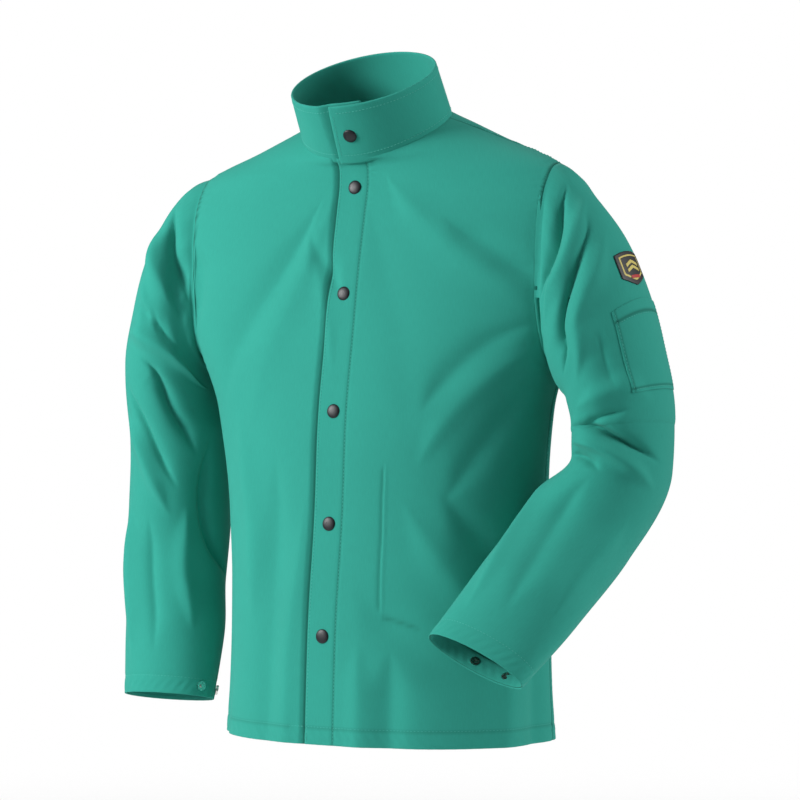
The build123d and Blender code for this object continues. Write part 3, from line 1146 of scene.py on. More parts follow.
# Folds of the body: paths in millimetres of girth and height.
BODY_FOLDS = (
    Fold(((-125, -125), (-85, -156), (-44, -176), (14, -214)), -5.2, 15),
    Fold(((-100, -150), (-62, -196), (-30, -240), (-4, -300)), 1.8, 16),
    Fold(((-105, -80), (-150, -160), (-196, -250), (-222, -340)), -5.8, 20),
    Fold(((-60, -70), (-100, -150), (-150, -260), (-170, -380)), 2.4, 26),
    Fold(((-262, -130), (-250, -190), (-262, -250)), -6.9, 12),
    Fold(((268, -232), (235, -254), (196, -293), (150, -345)), -4.7, 13),
    Fold(((272, -258), (228, -300), (184, -348), (140, -410)), 3.6, 14),
    Fold(((282, -284), (257, -327), (216, -386), (170, -450)), -3.9, 15),
    Fold(((205, -112), (226, -140), (244, -168), (262, -204)), -6.3, 13),
    Fold(((120, -56), (180, -112), (226, -170), (258, -232)), 4.6, 20),
    Fold(((60, -90), (110, -170), (140, -270), (130, -380)), -1.8, 34),
    Fold(((40, -540), (111, -600), (162, -640), (215, -680)), -4.5, 30),
    Fold(((168, -430), (211, -487), (257, -546), (300, -610)), -9.2, 22),
    Fold(((118, -440), (162, -510), (208, -580), (262, -660)), 5.8, 22),
    Fold(((-192, -330), (-172, -422), (-152, -493), (-138, -600)), 5.8, 22),
    Fold(((-120, -370), (-108, -470), (-104, -600), (-98, -790)), -5.8, 24),
    Fold(((-56, -430), (-60, -530), (-68, -640), (-62, -800)), 3.4, 18),
    Fold(((-228, -400), (-224, -500), (-214, -640), (-200, -800)), -6.9, 20),
    Fold(((98, -610), (96, -680), (92, -790)), -5.8, 20),
    Fold(((50, -600), (52, -680), (54, -790)), 4.0, 18),
    Fold(((240, -600), (236, -670), (228, -790)), 5.8, 18),
    Fold(((288, -560), (282, -640), (276, -790)), -5.8, 16),
    Fold(((330, -235), (380, -300), (440, -345)), -8.0, 16),
    Fold(((335, -285), (390, -350), (450, -430)), 5.8, 18),
    Fold(((450, -130), (470, -300), (482, -500), (470, -790)), -6.4, 30),
    Fold(((400, -330), (412, -480), (405, -640), (398, -790)), 5.5, 28),
    Fold(((350, -420), (356, -560), (350, -790)), -5.5, 23),
    Fold(((-330, -235), (-385, -290), (-445, -330)), -6.4, 18),
    Fold(((-335, -290), (-395, -340), (-455, -410)), 4.6, 21),
    Fold(((-440, -140), (-468, -320), (-476, -520), (-465, -790)), -6.4, 30),
    Fold(((-398, -350), (-410, -500), (-400, -650), (-392, -790)), 5.5, 25),
    Fold(((-345, -430), (-350, -580), (-345, -790)), -5.5, 23),
    Fold(((530, -80), (545, -220), (540, -420), (532, -790)), 4.6, 30),
    Fold(((-528, -80), (-540, -250), (-536, -450), (-528, -790)), 4.6, 28),
)
# The inside pocket's stitching, which shows as a shallow line on the left front.
POCKET_FOLDS = (
    Fold(((96, -400), (91, -441), (88, -482), (84, -523), (81, -574)), -1.0, 3.0, ends=0.06),
    Fold(((100, -400), (95, -441), (92, -482), (88, -523), (85, -574)), 0.8, 3.0, ends=0.06),
    Fold(((82, -576), (110, -582), (138, -590)), -0.8, 3.0, ends=0.1),
)
# Folds of the sleeves: paths in millimetres of girth and length from the armhole.
LEFT_FOLDS = (
    Fold(((222, 14), (257, 22), (284, 24), (308, 15), (335, 10)), -13.5, 7.0),
    Fold(((215, 30), (262, 42), (290, 44), (318, 34), (350, 32)), 6.8, 9.0),
    Fold(((232, 36), (247, 50), (271, 58), (290, 63), (312, 66), (326, 76), (331, 98), (352, 122)),
         -12.2, 8.0),
    Fold(((225, 60), (256, 74), (284, 82), (302, 92), (309, 114), (330, 146)), 6.8, 12.0),
    Fold(((338, 202), (297, 196), (262, 194)), -6.1, 6.0),
    Fold(((370, 200), (322, 206), (275, 230), (214, 250)), -13.5, 9.0),
    Fold(((372, 226), (322, 234), (274, 258), (215, 280)), 8.1, 12.0),
    Fold(((345, 178), (305, 172), (268, 172), (230, 190)), 5.4, 12.0),
    Fold(((372, 250), (330, 262), (296, 286)), -6.8, 9.0),
    Fold(((372, 262), (379, 328), (352, 443), (345, 520)), 5.4, 13.0),
    Fold(((306, 290), (314, 350), (306, 430), (300, 500)), -6.1, 14.0),
    Fold(((236, 310), (250, 390), (246, 480)), 4.7, 16.0),
    Fold(((283, 110), (284, 150), (276, 180)), -4.7, 12.0),
    Fold(((10, 60), (30, 110), (60, 150)), -9.5, 12.0),
    Fold(((0, 205), (50, 196), (110, 215), (165, 240)), -10.8, 10.0),
    Fold(((20, 236), (70, 232), (120, 250)), 6.8, 11.0),
    Fold(((120, 80), (150, 140), (160, 200)), -8.1, 14.0),
    Fold(((90, 270), (100, 360), (110, 460)), 6.1, 16.0),
    Fold(((30, 290), (40, 380), (44, 470)), -6.1, 15.0),
)
RIGHT_FOLDS = (
    Fold(((385, 22), (352, 24), (322, 16), (288, 4)), -14.5, 8.0),
    Fold(((388, 46), (350, 48), (314, 38), (284, 24)), 8.7, 11.0),
    Fold(((362, 126), (310, 92), (262, 62), (214, 66)), 10.2, 12.0),
    Fold(((344, 90), (306, 66), (270, 42)), -7.2, 11.0),
    Fold(((322, 122), (288, 124), (262, 190), (242, 240)), -13.0, 12.0),
    Fold(((352, 158), (320, 194), (296, 236), (268, 282)), -8.7, 8.0),
    Fold(((362, 190), (330, 226), (306, 270), (280, 318)), 7.2, 11.0),
    Fold(((222, 200), (236, 290), (220, 342), (168, 390)), -14.5, 12.0),
    Fold(((258, 290), (262, 370), (250, 470)), 7.2, 12.0),
    Fold(((312, 310), (304, 386), (303, 500)), -5.8, 12.0),
    Fold(((350, 290), (348, 390), (344, 510)), 5.8, 14.0),
    Fold(((390, 320), (394, 400), (388, 500)), -5.8, 12.0),
    Fold(((360, 70), (330, 70), (296, 72)), 4.3, 10.0),
    Fold(((20, 190), (60, 230), (100, 240), (150, 225)), -10.2, 11.0),
    Fold(((30, 160), (70, 196), (120, 200)), 7.2, 12.0),
    Fold(((60, 50), (90, 100), (110, 150)), -8.7, 14.0),
    Fold(((140, 20), (165, 60), (190, 90)), -10.2, 11.0),
    Fold(((100, 300), (110, 380), (104, 480)), 6.5, 15.0),
    Fold(((50, 320), (46, 400), (52, 490)), -5.8, 14.0),
)


@dataclass
class Sewing:
    """What the pieces share: surfaces, stitches and finishes."""

    body: OvalSurface
    collar: OvalSurface
    finishes: Finishes
    stitching: Stitching = field(default_factory=Stitching)


def trim_armholes(obj: bpy.types.Object) -> None:
    """Cuts a body panel off at both armhole planes and closes the cut.

    Args:
        obj: The panel.
    """
    for sign in (1, -1):
        activate(obj)
        bpy.ops.object.mode_set(mode="EDIT")
        bpy.ops.mesh.select_all(action="SELECT")
        bpy.ops.mesh.bisect(plane_co=(sign * ARMHOLE * MM, 0, 0), plane_no=(sign, 0, 0),
                            use_fill=True, clear_outer=True)
        bpy.ops.object.mode_set(mode="OBJECT")


@dataclass
class Body:
    """Back, both fronts with placket and underlap, and the inside pocket."""

    sewing: Sewing
    thick: float = 1.1
    hem_thick: float = 0.9
    rows: int = 230

    def front_weight(self, u: Grid, v: Grid) -> Grid:
        """How far the left front follows the placket as it opens."""
        (start, *_), (end, *_) = FRONT_BEND
        return ease((start - self.sewing.body.form(u, v)[..., 0]) / (start - end))

    def underlap_depth(self, x: Grid) -> Grid:
        """How far the right front lies behind the left."""
        return 3.2 * ease((x + 28) / 7) + 4.6 * ease((x + 17) / 11)

    def grid(self, angles: Callable[[Grid], Grid], depths: Grid | Callable[[Grid], Grid],
             low: float = 0.0, high: float = 1.0, rows: int | None = None) -> tuple[Grid, Grid, Grid]:
        """Points of a panel.

        Args:
            angles: Gives the angles of each row from its places.
            depths: Depth of each column, or a function of the points' x.
            low: Place of the first row.
            high: Place of the last row.
            rows: How many rows.

        Returns:
            Points, angles and places.
        """
        v = np.linspace(low, high, rows or self.rows)[:, None]
        u = angles(v)
        v = v + np.zeros_like(u)
        depth = depths(self.sewing.body.form(u, v)[..., 0]) if callable(depths) else depths
        return self.sewing.body.skin(u, v, depth), u, v

    def hem(self, mesh: Mesh, turn: Grid, thick: float, follow: bool = False) -> None:
        """Adds a turned hem inside a panel.

        Args:
            mesh: The mesh that grows.
            turn: Angles of its columns.
            thick: Thickness in millimetres.
            follow: Whether it opens with the placket.
        """
        top = HEM_TURN / self.sewing.body.rings.length
        p, u, v = self.grid(lambda v: turn + 0 * v, HEM_DEPTH, 0.0, top, 8)
        add_shell(mesh, p, thick, self.front_weight(u, v) if follow else 0.0)

    def back(self) -> bpy.types.Object:
        """Back panel with its hem turn."""
        mesh = Mesh()
        turn = np.linspace(SEAM, math.tau - SEAM, 150)
        p, u, v = self.grid(lambda v: turn + 0 * v, 0.0)
        # Painted shade along the back's seams and hem stitching.
        add_shell(mesh, p, self.thick, painted_shades=self.sewing.body.painted_shade(u, v))
        self.hem(mesh, turn, self.thick * self.hem_thick)
        obj = mesh.build("back")
        trim_armholes(obj)
        wear(obj, self.sewing.finishes.shell)
        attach(obj, "torso")
        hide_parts("back_panel")
        return obj

    def left_front(self) -> bpy.types.Object:
        """Wearer's left front; its cloth folds back behind the placket."""
        mesh = Mesh()
        body, edge, r = self.sewing.body, PLACKET_EDGE, 1.2
        facing_x = np.linspace(edge + 41, edge + r, 14)
        arc = np.linspace(math.pi, 0, 7)[1:-1]
        x = np.concatenate([facing_x, edge + r - r * np.sin(arc), np.linspace(edge + r, 26, 25)])
        depth = np.concatenate([np.full(14, 2 * r), r - r * np.cos(arc), np.zeros(25)])
        outer = np.linspace(0, 1, 131)[1:]

        def angles(v: Grid) -> Grid:
            """Angles of a row, from the facing round to the side seam."""
            near = body.angle_at(x[None, :] + 0 * v, v + 0 * x[None, :])
            return np.concatenate([near, near[:, -1:] + (SEAM - near[:, -1:]) * outer], 1)

        depths = np.concatenate([depth, np.zeros(130)])
        p, u, v = self.grid(angles, depths)
        hidden = len(facing_x) + len(arc)
        seen = np.concatenate([np.zeros(hidden), np.ones(p.shape[1] - hidden)])
        # Painted shade along the seams, on the outside of the front only.
        add_shell(mesh, p, 1.0, self.front_weight(u, v), painted_shades=body.painted_shade(u, v) * seen)
        self.hem(mesh, np.linspace(HEM_START, SEAM, 60), self.hem_thick, follow=True)
        obj = mesh.build("left_front")
        trim_armholes(obj)
        wear(obj, self.sewing.finishes.shell)
        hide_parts("left_front_panel", "placket", "placket_facing")
        return bend(obj, "torso", "front_edge", *FRONT_BEND)

    def right_front(self) -> bpy.types.Object:
        """Wearer's right front, dipping behind the placket."""
        mesh = Mesh()
        body = self.sewing.body

        def angles(v: Grid) -> Grid:
            """Angles of a row, from the side seam to the underlap edge.

            Args:
                v: Place of the row, 0 to 1.

            Returns:
                Angles in radians.
            """
            first, last = body.angle_at(-30.0, v), body.angle_at(UNDERLAP_EDGE, v)
            wide = -SEAM + (first + SEAM) * np.linspace(0, 1, 116)
            return np.concatenate([wide, first + (last - first) * np.linspace(0, 1, 34)[1:]], 1)

        p, u, v = self.grid(angles, self.underlap_depth)
        x = body.form(u, v)[..., 0]
        # Painted shade in the groove where the right front dips under the placket edge, and along the seams
        # away from the placket.
        gap = ease((x + 24.5) / 2.5) * (1 - ease((x + 12) / 4))
        add_shell(mesh, p, self.thick, painted_shades=np.maximum(0.75 * gap, body.painted_shade(u, v) * (x < -40)))
        self.hem(mesh, np.linspace(-SEAM, math.radians(-12), 60), self.hem_thick)
        obj = mesh.build("right_front")
        trim_armholes(obj)
        wear(obj, self.sewing.finishes.shell)
        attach(obj, "torso")
        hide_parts("right_front_panel", "right_front_facing")
        return obj

    def pocket(self) -> bpy.types.Object:
        """Pocket bag sewn inside the left front."""
        mesh = Mesh()
        body = self.sewing.body
        low, high = body.place(100, -590), body.place(100, -404)

        def angles(v: Grid) -> Grid:
            """Angles of a row, from one side of the pocket to the other."""
            a, b = body.angle_at(73.0, v), body.angle_at(134.0, v)
            return a + (b - a) * np.linspace(0, 1, 24)

        p, _, _ = self.grid(angles, 2.3, low, high, 60)
        add_shell(mesh, p, 1.0)
        obj = mesh.build("inside_pocket_bag")
        wear(obj, self.sewing.finishes.shell)
        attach(obj, "torso")
        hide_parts("inside_pocket")
        return obj

    def stitch_lines(self) -> None:
        """Topstitching of the fronts, seams and hem."""
        body, sew = self.sewing.body, self.sewing.stitching

        def run(mesh: Mesh, u: Grid, v: Grid, weights: Grid | float = 0.0) -> None:
            """Stitches a line, leaving out what lies past the armholes.

            Args:
                mesh: The mesh that grows.
                u: Angles along the line, in radians.
                v: Places along the line, 0 to 1.
                weights: How far each point follows the placket.
            """
            keep = np.abs(body.form(u, v)[..., 0]) < 237
            u, v = u[keep], v[keep]
            w = np.broadcast_to(weights, keep.shape)[keep]
            if len(u) > 3:
                sew.along(mesh, body.skin(u, v), body.normal(u, v, body.form), w)

        front, rest = Mesh(), Mesh()
        v = np.linspace(0.004, 0.985, 260)
        for x in (PLACKET_EDGE + 2.6, PLACKET_STITCH):
            run(front, body.angle_at(x, v), v, 1.0)
        for side in (1, -1):
            run(rest, np.full(v.shape, side * (SEAM + 0.018)), v)
        hem = np.full(300, HEM_STITCH / body.rings.length)
        u = np.linspace(math.radians(14.5), SEAM, 300)
        run(front, u, hem, self.front_weight(u, hem))
        u = np.linspace(body.angle_at(PLACKET_EDGE + 3.0, hem[:1])[0], HEM_START, 60)
        run(front, u, hem[:60], 1.0)
        run(rest, np.linspace(SEAM, math.tau - SEAM, 300), hem)
        u = np.linspace(-SEAM, float(body.angle_at(PLACKET_EDGE - 2, hem[:1])[0]), 300)
        run(rest, u, hem)
        for mesh, name in ((front, "front_stitches"), (rest, "body_stitches")):
            obj = mesh.build(name)
            wear(obj, self.sewing.finishes.thread)
            if name == "front_stitches":
                bend(obj, "torso", "front_edge", *FRONT_BEND)
            else:
                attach(obj, "torso")

    def build(self) -> None:
        """Builds every piece of the body."""
        for make in (self.back, self.left_front, self.right_front, self.pocket):
            obj = make()
            LOG.info("made %s, %d faces", obj.name, len(obj.data.polygons))
        self.stitch_lines()


@dataclass
class Collar:
    """Stand collar whose left end laps over the right."""

    sewing: Sewing
    thick: float = 2.9

    def weight(self, u: Grid, v: Grid) -> Grid:
        """How far the overlap end follows its fastener.

        Args:
            u: Angles around, in radians.
            v: Places along, 0 to 1.

        Returns:
            Weights, 0 to 1.
        """
        (start, *_), (end, *_) = COLLAR_BEND
        x = self.sewing.collar.form(u, v)[..., 0]
        return np.where(u < -1.5 * math.pi, ease((start - x) / (start - end)), 0.0)

    def depth(self, u: Grid, v: Grid) -> Grid:
        """How far the underlap end lies behind the overlap."""
        x = self.sewing.collar.form(u, v)[..., 0]
        return np.where(np.abs(u) < math.pi / 2, 1.0 * ease((x + 52) / 34) + 6.8 * ease((x + 24) / 20), 0.0)

    def edge(self, v: Grid, inset: float = 0.0) -> Grid:
        """Angle of the slanted end that shows, moved back by an inset in millimetres."""
        return self.sewing.collar.angle_at(-13 + 9 * v + inset, v) - math.tau

    def build(self) -> None:
        """Builds the collar and its stitches."""
        collar = self.sewing.collar
        v = np.linspace(-0.07, 1, 36)[:, None]
        inside = np.clip(v, 0, 1)
        first = collar.angle_at(UNDERLAP_EDGE, inside)
        u = first + (self.edge(inside) - first) * np.linspace(0, 1, 260)
        u, v = np.broadcast_arrays(u, v)
        p = collar.skin(u, v, self.depth(u, v))[:, ::-1]
        mesh = Mesh()
        add_shell(mesh, p, self.thick, self.weight(u, v)[:, ::-1])
        obj = mesh.build("stand_collar")
        wear(obj, self.sewing.finishes.shell)
        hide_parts("collar_outer", "collar_inner", "collar_end_outer", "collar_end_inner")
        bend(obj, "torso", "collar_edge", *COLLAR_BEND)
        seams = Mesh()
        low, high = 0.09, 0.9
        for place in (low, high):
            t = np.linspace(-0.004, 1.0, 400)
            v = np.full(t.shape, place)
            a = collar.angle_at(UNDERLAP_EDGE - 5, np.array(place))
            u = a + (self.edge(np.array(place), 5) - a) * t
            self.sewing.stitching.along(seams, collar.skin(u, v, self.depth(u, v)),
                                        collar.normal(u, v, collar.form), self.weight(u, v))
        v = np.linspace(low, high, 30)
        u = self.edge(v, 4)
        self.sewing.stitching.along(seams, collar.skin(u, v), collar.normal(u, v, collar.form), 1.0)
        obj = seams.build("collar_stitches")
        wear(obj, self.sewing.finishes.thread)
        bend(obj, "torso", "collar_edge", *COLLAR_BEND)
        LOG.info("made collar")


@dataclass
class Sleeve:
    """One sleeve in two lengths that meet above the elbow."""

    sewing: Sewing
    side: Side
    rows: Sequence[Sequence[float]]
    folds: tuple[Fold, ...]
    elbow: int
    thick: float = 1.1
    turns: int = 150

    def __post_init__(self) -> None:
        """Prepares the surface and the places along it."""
        self.surface = SleeveSurface(self.rows, self.side, self.sewing.body, self.folds)
        rings = self.surface.rings
        self.swing_end = rings.mark(2, 0.3)
        self.part = rings.mark(self.elbow - 1, 0.1)
        self.bend_end = rings.mark(self.elbow + 1, 0.0) + 0.02
        self.label = self.side.name.lower()

    def weight(self, v: Grid, low: float, high: float) -> Grid:
        """How far each ring follows the further body."""
        return ease((v - low) / (high - low))

    def tube(self, mesh: Mesh, low: float, high: float, rows: int, weights: tuple[float, float],
             depth: float = 0.0, rim: bool = False, tuck: float = 0.0, shade: float = 0.0) -> None:
        """Adds a length of sleeve.

        Args:
            mesh: The mesh that grows.
            low: Place of the first ring.
            high: Place of the last ring.
            rows: How many rings.
            weights: Where the bend starts and ends.
            depth: Millimetres below the surface.
            rim: Whether to add a ring tucked into the armhole.
            tuck: Share of the run that dips under its neighbour, at the end if positive.
            shade: How dark the painted shade on its outer face is, 0 to 1.
        """
        low, high = low + min(tuck, 0.0), high + max(tuck, 0.0)
        v = np.linspace(low, high, rows)[:, None]
        beyond = (v - high + tuck) / tuck if tuck > 0 else (low - tuck - v) / -tuck if tuck < 0 else v * 0
        depth = depth + 1.4 * np.clip(beyond, 0, 1) ** 2
        u = np.linspace(0, math.tau, self.turns, endpoint=False)[None, :]
        u, v = np.broadcast_arrays(u, v)
        p = self.surface.skin(u, v, depth)
        w = self.weight(v, *weights)
        if rim:
            centre = np.array([self.side.value * (ARMHOLE - 3.0), *self.rows[0][1:3]])
            inner = centre + (p[0] - p[0].mean(0)) * np.array([1, 0.975, 0.985])
            p = np.concatenate([inner[None], p])
            w = np.concatenate([w[:1], w])
        if np.cross(p[1, 1] - p[1, 0], p[2, 0] - p[1, 0]) @ (p[1, 0] - p[1].mean(0)) < 0:
            p, w = p[:, ::-1], w[:, ::-1]
        add_shell(mesh, p, self.thick, w, closed=True, painted_shades=shade)

    def build(self) -> None:
        """Builds both lengths, their hem and stitches."""
        shell, thread = self.sewing.finishes.shell, self.sewing.finishes.thread
        x = self.side.value
        upper, lower = Mesh(), Mesh()
        self.tube(upper, 0.0, self.part, 110, (0.0, self.swing_end), rim=True, tuck=0.012)
        self.tube(lower, self.part, 1.0, 150, (self.part, self.bend_end), tuck=-0.012)
        turn = 1 - HEM_TURN / self.surface.rings.length
        # The cuff's turned hem inside the sleeve end gets painted shade.
        self.tube(lower, turn, 0.9985, 8, (self.part, self.bend_end), depth=1.35, shade=0.7)
        obj = upper.build(f"{self.label}_sleeve_top")
        wear(obj, shell)
        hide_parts(f"{self.label}_sleeve_upper")
        bend(obj, "torso", f"{self.label}_upper_sleeve", (x * 240, 0, -170), (x * 300, 0, -230))
        obj = lower.build(f"{self.label}_sleeve_end")
        wear(obj, shell)
        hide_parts(f"{self.label}_sleeve_lower")
        bend(obj, f"{self.label}_upper_sleeve", f"{self.label}_forearm",
             (x * 300, 0, -340), (x * 300, 0, -440))
        seams = Mesh()
        u = np.linspace(0, math.tau, 200)
        v = np.full(u.shape, 1 - HEM_STITCH / self.surface.rings.length)
        self.sewing.stitching.along(seams, self.surface.skin(u, v), self.outward(u, v), 1.0)
        obj = seams.build(f"{self.label}_cuff_stitches")
        wear(obj, thread)
        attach(obj, f"{self.label}_forearm")
        LOG.info("made %s sleeve", self.label)

    def outward(self, u: Grid, v: Grid) -> Grid:
        """Outward direction of the sleeve.

        Args:
            u: Angles around, in radians.
            v: Places along, 0 to 1.

        Returns:
            Unit vectors.
        """
        n = self.surface.normal(u, v, self.surface.form)
        centre = self.surface.rings.at(v)[..., 0:3]
        facing = ((self.surface.form(u, v) - centre) * n).sum(-1, keepdims=True)
        return n * np.sign(facing)


@dataclass
class ArmPatches:
    """Pocket and badge sewn on the wearer's left sleeve."""

    sewing: Sewing
    sleeve: Sleeve

    def over(self, u: Grid, v: Grid, height: float) -> tuple[Grid, Grid]:
        """Points a height above the sleeve, and the outward directions there.

        Args:
            u: Angles around, in radians.
            v: Places along, 0 to 1.
            height: Millimetres above the sleeve.

        Returns:
            Points in millimetres and unit vectors.
        """
        out = self.sleeve.outward(u, v)
        surface = self.sleeve.surface
        return surface.form(u, v) + out * (surface.lift(u, v) + height)[..., None], out

    def patch(self, mesh: Mesh, corners: tuple[float, float, float, float], height: float, thick: float,
              round_by: float = 0.0, size: tuple[int, int] = (40, 40), point: float = 0.0,
              painted_shades: Grid | float = 0.0) -> None:
        """Adds a patch that follows the sleeve.

        Args:
            mesh: The mesh that grows.
            corners: Lowest and highest angle in degrees, then first and last place.
            height: Millimetres above the sleeve's surface.
            thick: Thickness in millimetres.
            round_by: 0 for square corners, up to 1 for an oval.
            size: Rows and columns.
            point: How far the lower corners are cut back, as a share of the length.
            painted_shades: How dark the painted shade is at each point.
        """
        a0, a1, v0, v1 = corners
        s, t = np.meshgrid(np.linspace(-1, 1, size[1]), np.linspace(-1, 1, size[0]))
        x, y = s * np.sqrt(1 - round_by * t * t / 2), t * np.sqrt(1 - round_by * s * s / 2)
        u = np.radians((a0 + a1) / 2 + (a1 - a0) / 2 * x)
        v = v0 + (v1 - v0) * (y + 1) / 2 * (1 - point * np.abs(x) ** 1.3)
        p, out = self.over(u, v, height)
        middle = size[0] // 2, size[1] // 2
        if grid_normals(p)[middle] @ out[middle] < 0:
            p = p[:, ::-1]
        add_shell(mesh, p, thick, painted_shades=painted_shades)

    def pocket(self) -> bpy.types.Object:
        """Open-topped pocket with a turned hem and its stitches."""
        rings = self.sleeve.surface.rings
        v0, v1 = rings.mark(3, 0.21), rings.mark(4, 0.64)
        mesh, seams = Mesh(), Mesh()
        s, t = np.meshgrid(np.linspace(-1, 1, 60), np.linspace(0, 1, 90))
        edge = (1 - np.abs(s)) * 40
        low = (1 - t) * (v1 - v0) * rings.length
        hem = t * (v1 - v0) * rings.length
        # Painted shade along the pocket's stitched sides and bottom and under its hem.
        seam = 0.5 * bell((edge - 3.2) / 1.0) + 0.5 * bell((low - 3.2) / 1.0) + 0.6 * bell((hem - 8) / 1.2)
        self.patch(mesh, (157, 227, v0, v1), 2.4, 1.5, size=(90, 60), painted_shades=np.clip(seam, 0, 1))
        obj = mesh.build("sleeve_pocket_patch")
        wear(obj, self.sewing.finishes.shell)
        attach(obj, "left_upper_sleeve")
        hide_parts("sleeve_pocket")
        hem = 9.6 / rings.length
        lines = [(np.linspace(159, 225, 80), np.full(80, v0 + hem)),
                 (np.linspace(159, 225, 80), np.full(80, v1 - 2.2 / rings.length)),
                 (np.full(80, 159.0), np.linspace(v0 + 0.004, v1 - 0.004, 80)),
                 (np.full(80, 225.0), np.linspace(v0 + 0.004, v1 - 0.004, 80))]
        for degrees, v in lines:
            self.sewing.stitching.along(seams, *self.over(np.radians(degrees), v, 2.4))
        obj = seams.build("sleeve_pocket_stitches")
        wear(obj, self.sewing.finishes.thread)
        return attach(obj, "left_upper_sleeve")

    def badge(self) -> None:
        """Black moulded badge with a plain border, two chevrons and a red bar."""
        rings = self.sleeve.surface.rings
        v0, v1 = rings.mark(2, 0.45), rings.mark(2, 0.98)
        span, middle = v1 - v0, 185.0
        mesh, marks, bar = Mesh(), Mesh(), Mesh()
        self.patch(mesh, (middle - 19, middle + 19, v0, v1), 2.6, 1.6,
                   round_by=0.06, size=(36, 36), point=0.3)
        for layer, grow, height in ((marks, 0.8, 2.85), (mesh, 0.7, 3.1)):
            gap = span * (1 - grow) / 2
            self.patch(layer, (middle - 19 * grow, middle + 19 * grow, v0 + gap, v1 - gap * 1.3), height, 0.5,
                       round_by=0.06, size=(30, 30), point=0.3)
        obj = mesh.build("badge_patch")
        wear(obj, self.sewing.finishes.rubber)
        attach(obj, "left_upper_sleeve")
        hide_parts("arm_badge")
        for at in (0.26, 0.42):
            for flip in (1, -1):
                self.chevron(marks, middle, 9 * flip, v0 + span * at, span * 0.2)
        obj = marks.build("badge_chevrons")
        wear(obj, self.sewing.finishes.yellow)
        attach(obj, "left_upper_sleeve")
        self.patch(bar, (middle - 7, middle + 7, v0 + span * 0.72, v0 + span * 0.8), 3.6, 0.6, size=(6, 14))
        obj = bar.build("badge_bar")
        wear(obj, self.sewing.finishes.red)
        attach(obj, "left_upper_sleeve")

    def chevron(self, mesh: Mesh, middle: float, reach: float, place: float, drop: float) -> None:
        """Adds one arm of a chevron.

        Args:
            mesh: The mesh that grows.
            middle: Angle of its point, in degrees.
            reach: Degrees from the point to the arm's end.
            place: Where the point starts along the sleeve.
            drop: How far the arm slopes down, as a share of the sleeve.
        """
        s, t = np.meshgrid(np.linspace(0, 1, 12), np.linspace(0, 1, 4))
        u = np.radians(middle + reach * s)
        v = place + drop * (0.5 * s + 0.42 * t)
        p, out = self.over(u, v, 3.6)
        if grid_normals(p)[2, 6] @ out[2, 6] < 0:
            p = p[:, ::-1]
        add_shell(mesh, p, 0.6)

    def build(self) -> None:
        """Builds the pocket and the badge."""
        self.pocket()
        self.badge()
        LOG.info("made sleeve pocket and badge")


@dataclass
class Snaps:
    """Domed black caps along the placket and the metal parts behind them."""

    sewing: Sewing
    radius: float = 8.3
    height: float = 3.0
    rim: float = 1.0
    dome_angles: tuple[int, ...] = (0, 14, 28, 42, 56, 68, 78)
    metal_words: tuple[str, ...] = ("snap", "socket", "stud", "post", "washer")

    def dome(self) -> bpy.types.Object:
        """Models one cap: a disc whose top is drawn up ring by ring and rim rounded."""
        clear_selection()
        bpy.ops.mesh.primitive_cylinder_add(vertices=48, radius=self.radius * MM, depth=self.rim * MM,
                                            location=(0, 0, self.rim / 2 * MM))
        obj = bpy.context.object
        bpy.ops.object.mode_set(mode="EDIT")
        bpy.ops.mesh.select_mode(type="FACE")
        bpy.ops.mesh.select_all(action="DESELECT")
        bpy.ops.object.mode_set(mode="OBJECT")
        top = max(obj.data.polygons, key=lambda f: f.center.z)
        top.select = True
        bpy.ops.object.mode_set(mode="EDIT")
        angles = [math.radians(a) for a in self.dome_angles]
        for a, b in zip(angles, angles[1:]):
            bpy.ops.mesh.inset(thickness=self.radius * (math.cos(a) - math.cos(b)) * MM,
                               depth=(self.height - self.rim) * (math.sin(b) - math.sin(a)) * MM)
        bpy.ops.object.mode_set(mode="OBJECT")
        return smooth_shaded(obj, 50)

    def cap(self, shape: bpy.types.Object, name: str, surface: OvalSurface, at: tuple[float, float],
            rides: str) -> bpy.types.Object:
        """Copies the cap with its own mesh and seats it on a surface.

        Args:
            shape: The modelled cap.
            name: Name of the copy.
            surface: The body or the collar.
            at: Millimetres across from the centre plane, and height.
            rides: Body that it moves with.

        Returns:
            The copy.
        """
        x, z = at
        v = np.array([surface.place(x, z)])
        u = surface.angle_at(x, v)
        obj = bpy.data.objects.new(name, shape.data.copy())
        bpy.context.scene.collection.objects.link(obj)
        turn = Vector(surface.normal(u, v, surface.form)[0]).to_track_quat("Z", "Y").to_matrix().to_4x4()
        turn.translation = Vector(surface.skin(u, v)[0] * MM)
        obj.data.transform(turn)
        wear(obj, self.sewing.finishes.enamel)
        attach(obj, rides)
        return obj

    def build(self) -> None:
        """Places the caps and dresses the metal parts."""
        shape = self.dome()
        caps = [self.cap(shape, f"placket_cap_{k + 1}", self.sewing.body, (SNAP_X, z), "front_edge")
                for k, z in enumerate(SNAP_Z)]
        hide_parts("placket_caps")
        cap = self.cap(shape, "collar_edge_cap", self.sewing.collar, (COLLAR_SNAP_X, COLLAR_SNAP_Z),
                       "collar_edge")
        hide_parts("collar_cap")
        bpy.data.objects.remove(shape)
        for name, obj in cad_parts.items():
            if not obj.hide_render and any(word in name for word in self.metal_words):
                wear(obj, self.sewing.finishes.plated)
        LOG.info("made snaps")


# ---------------------------------------------------------------- studio

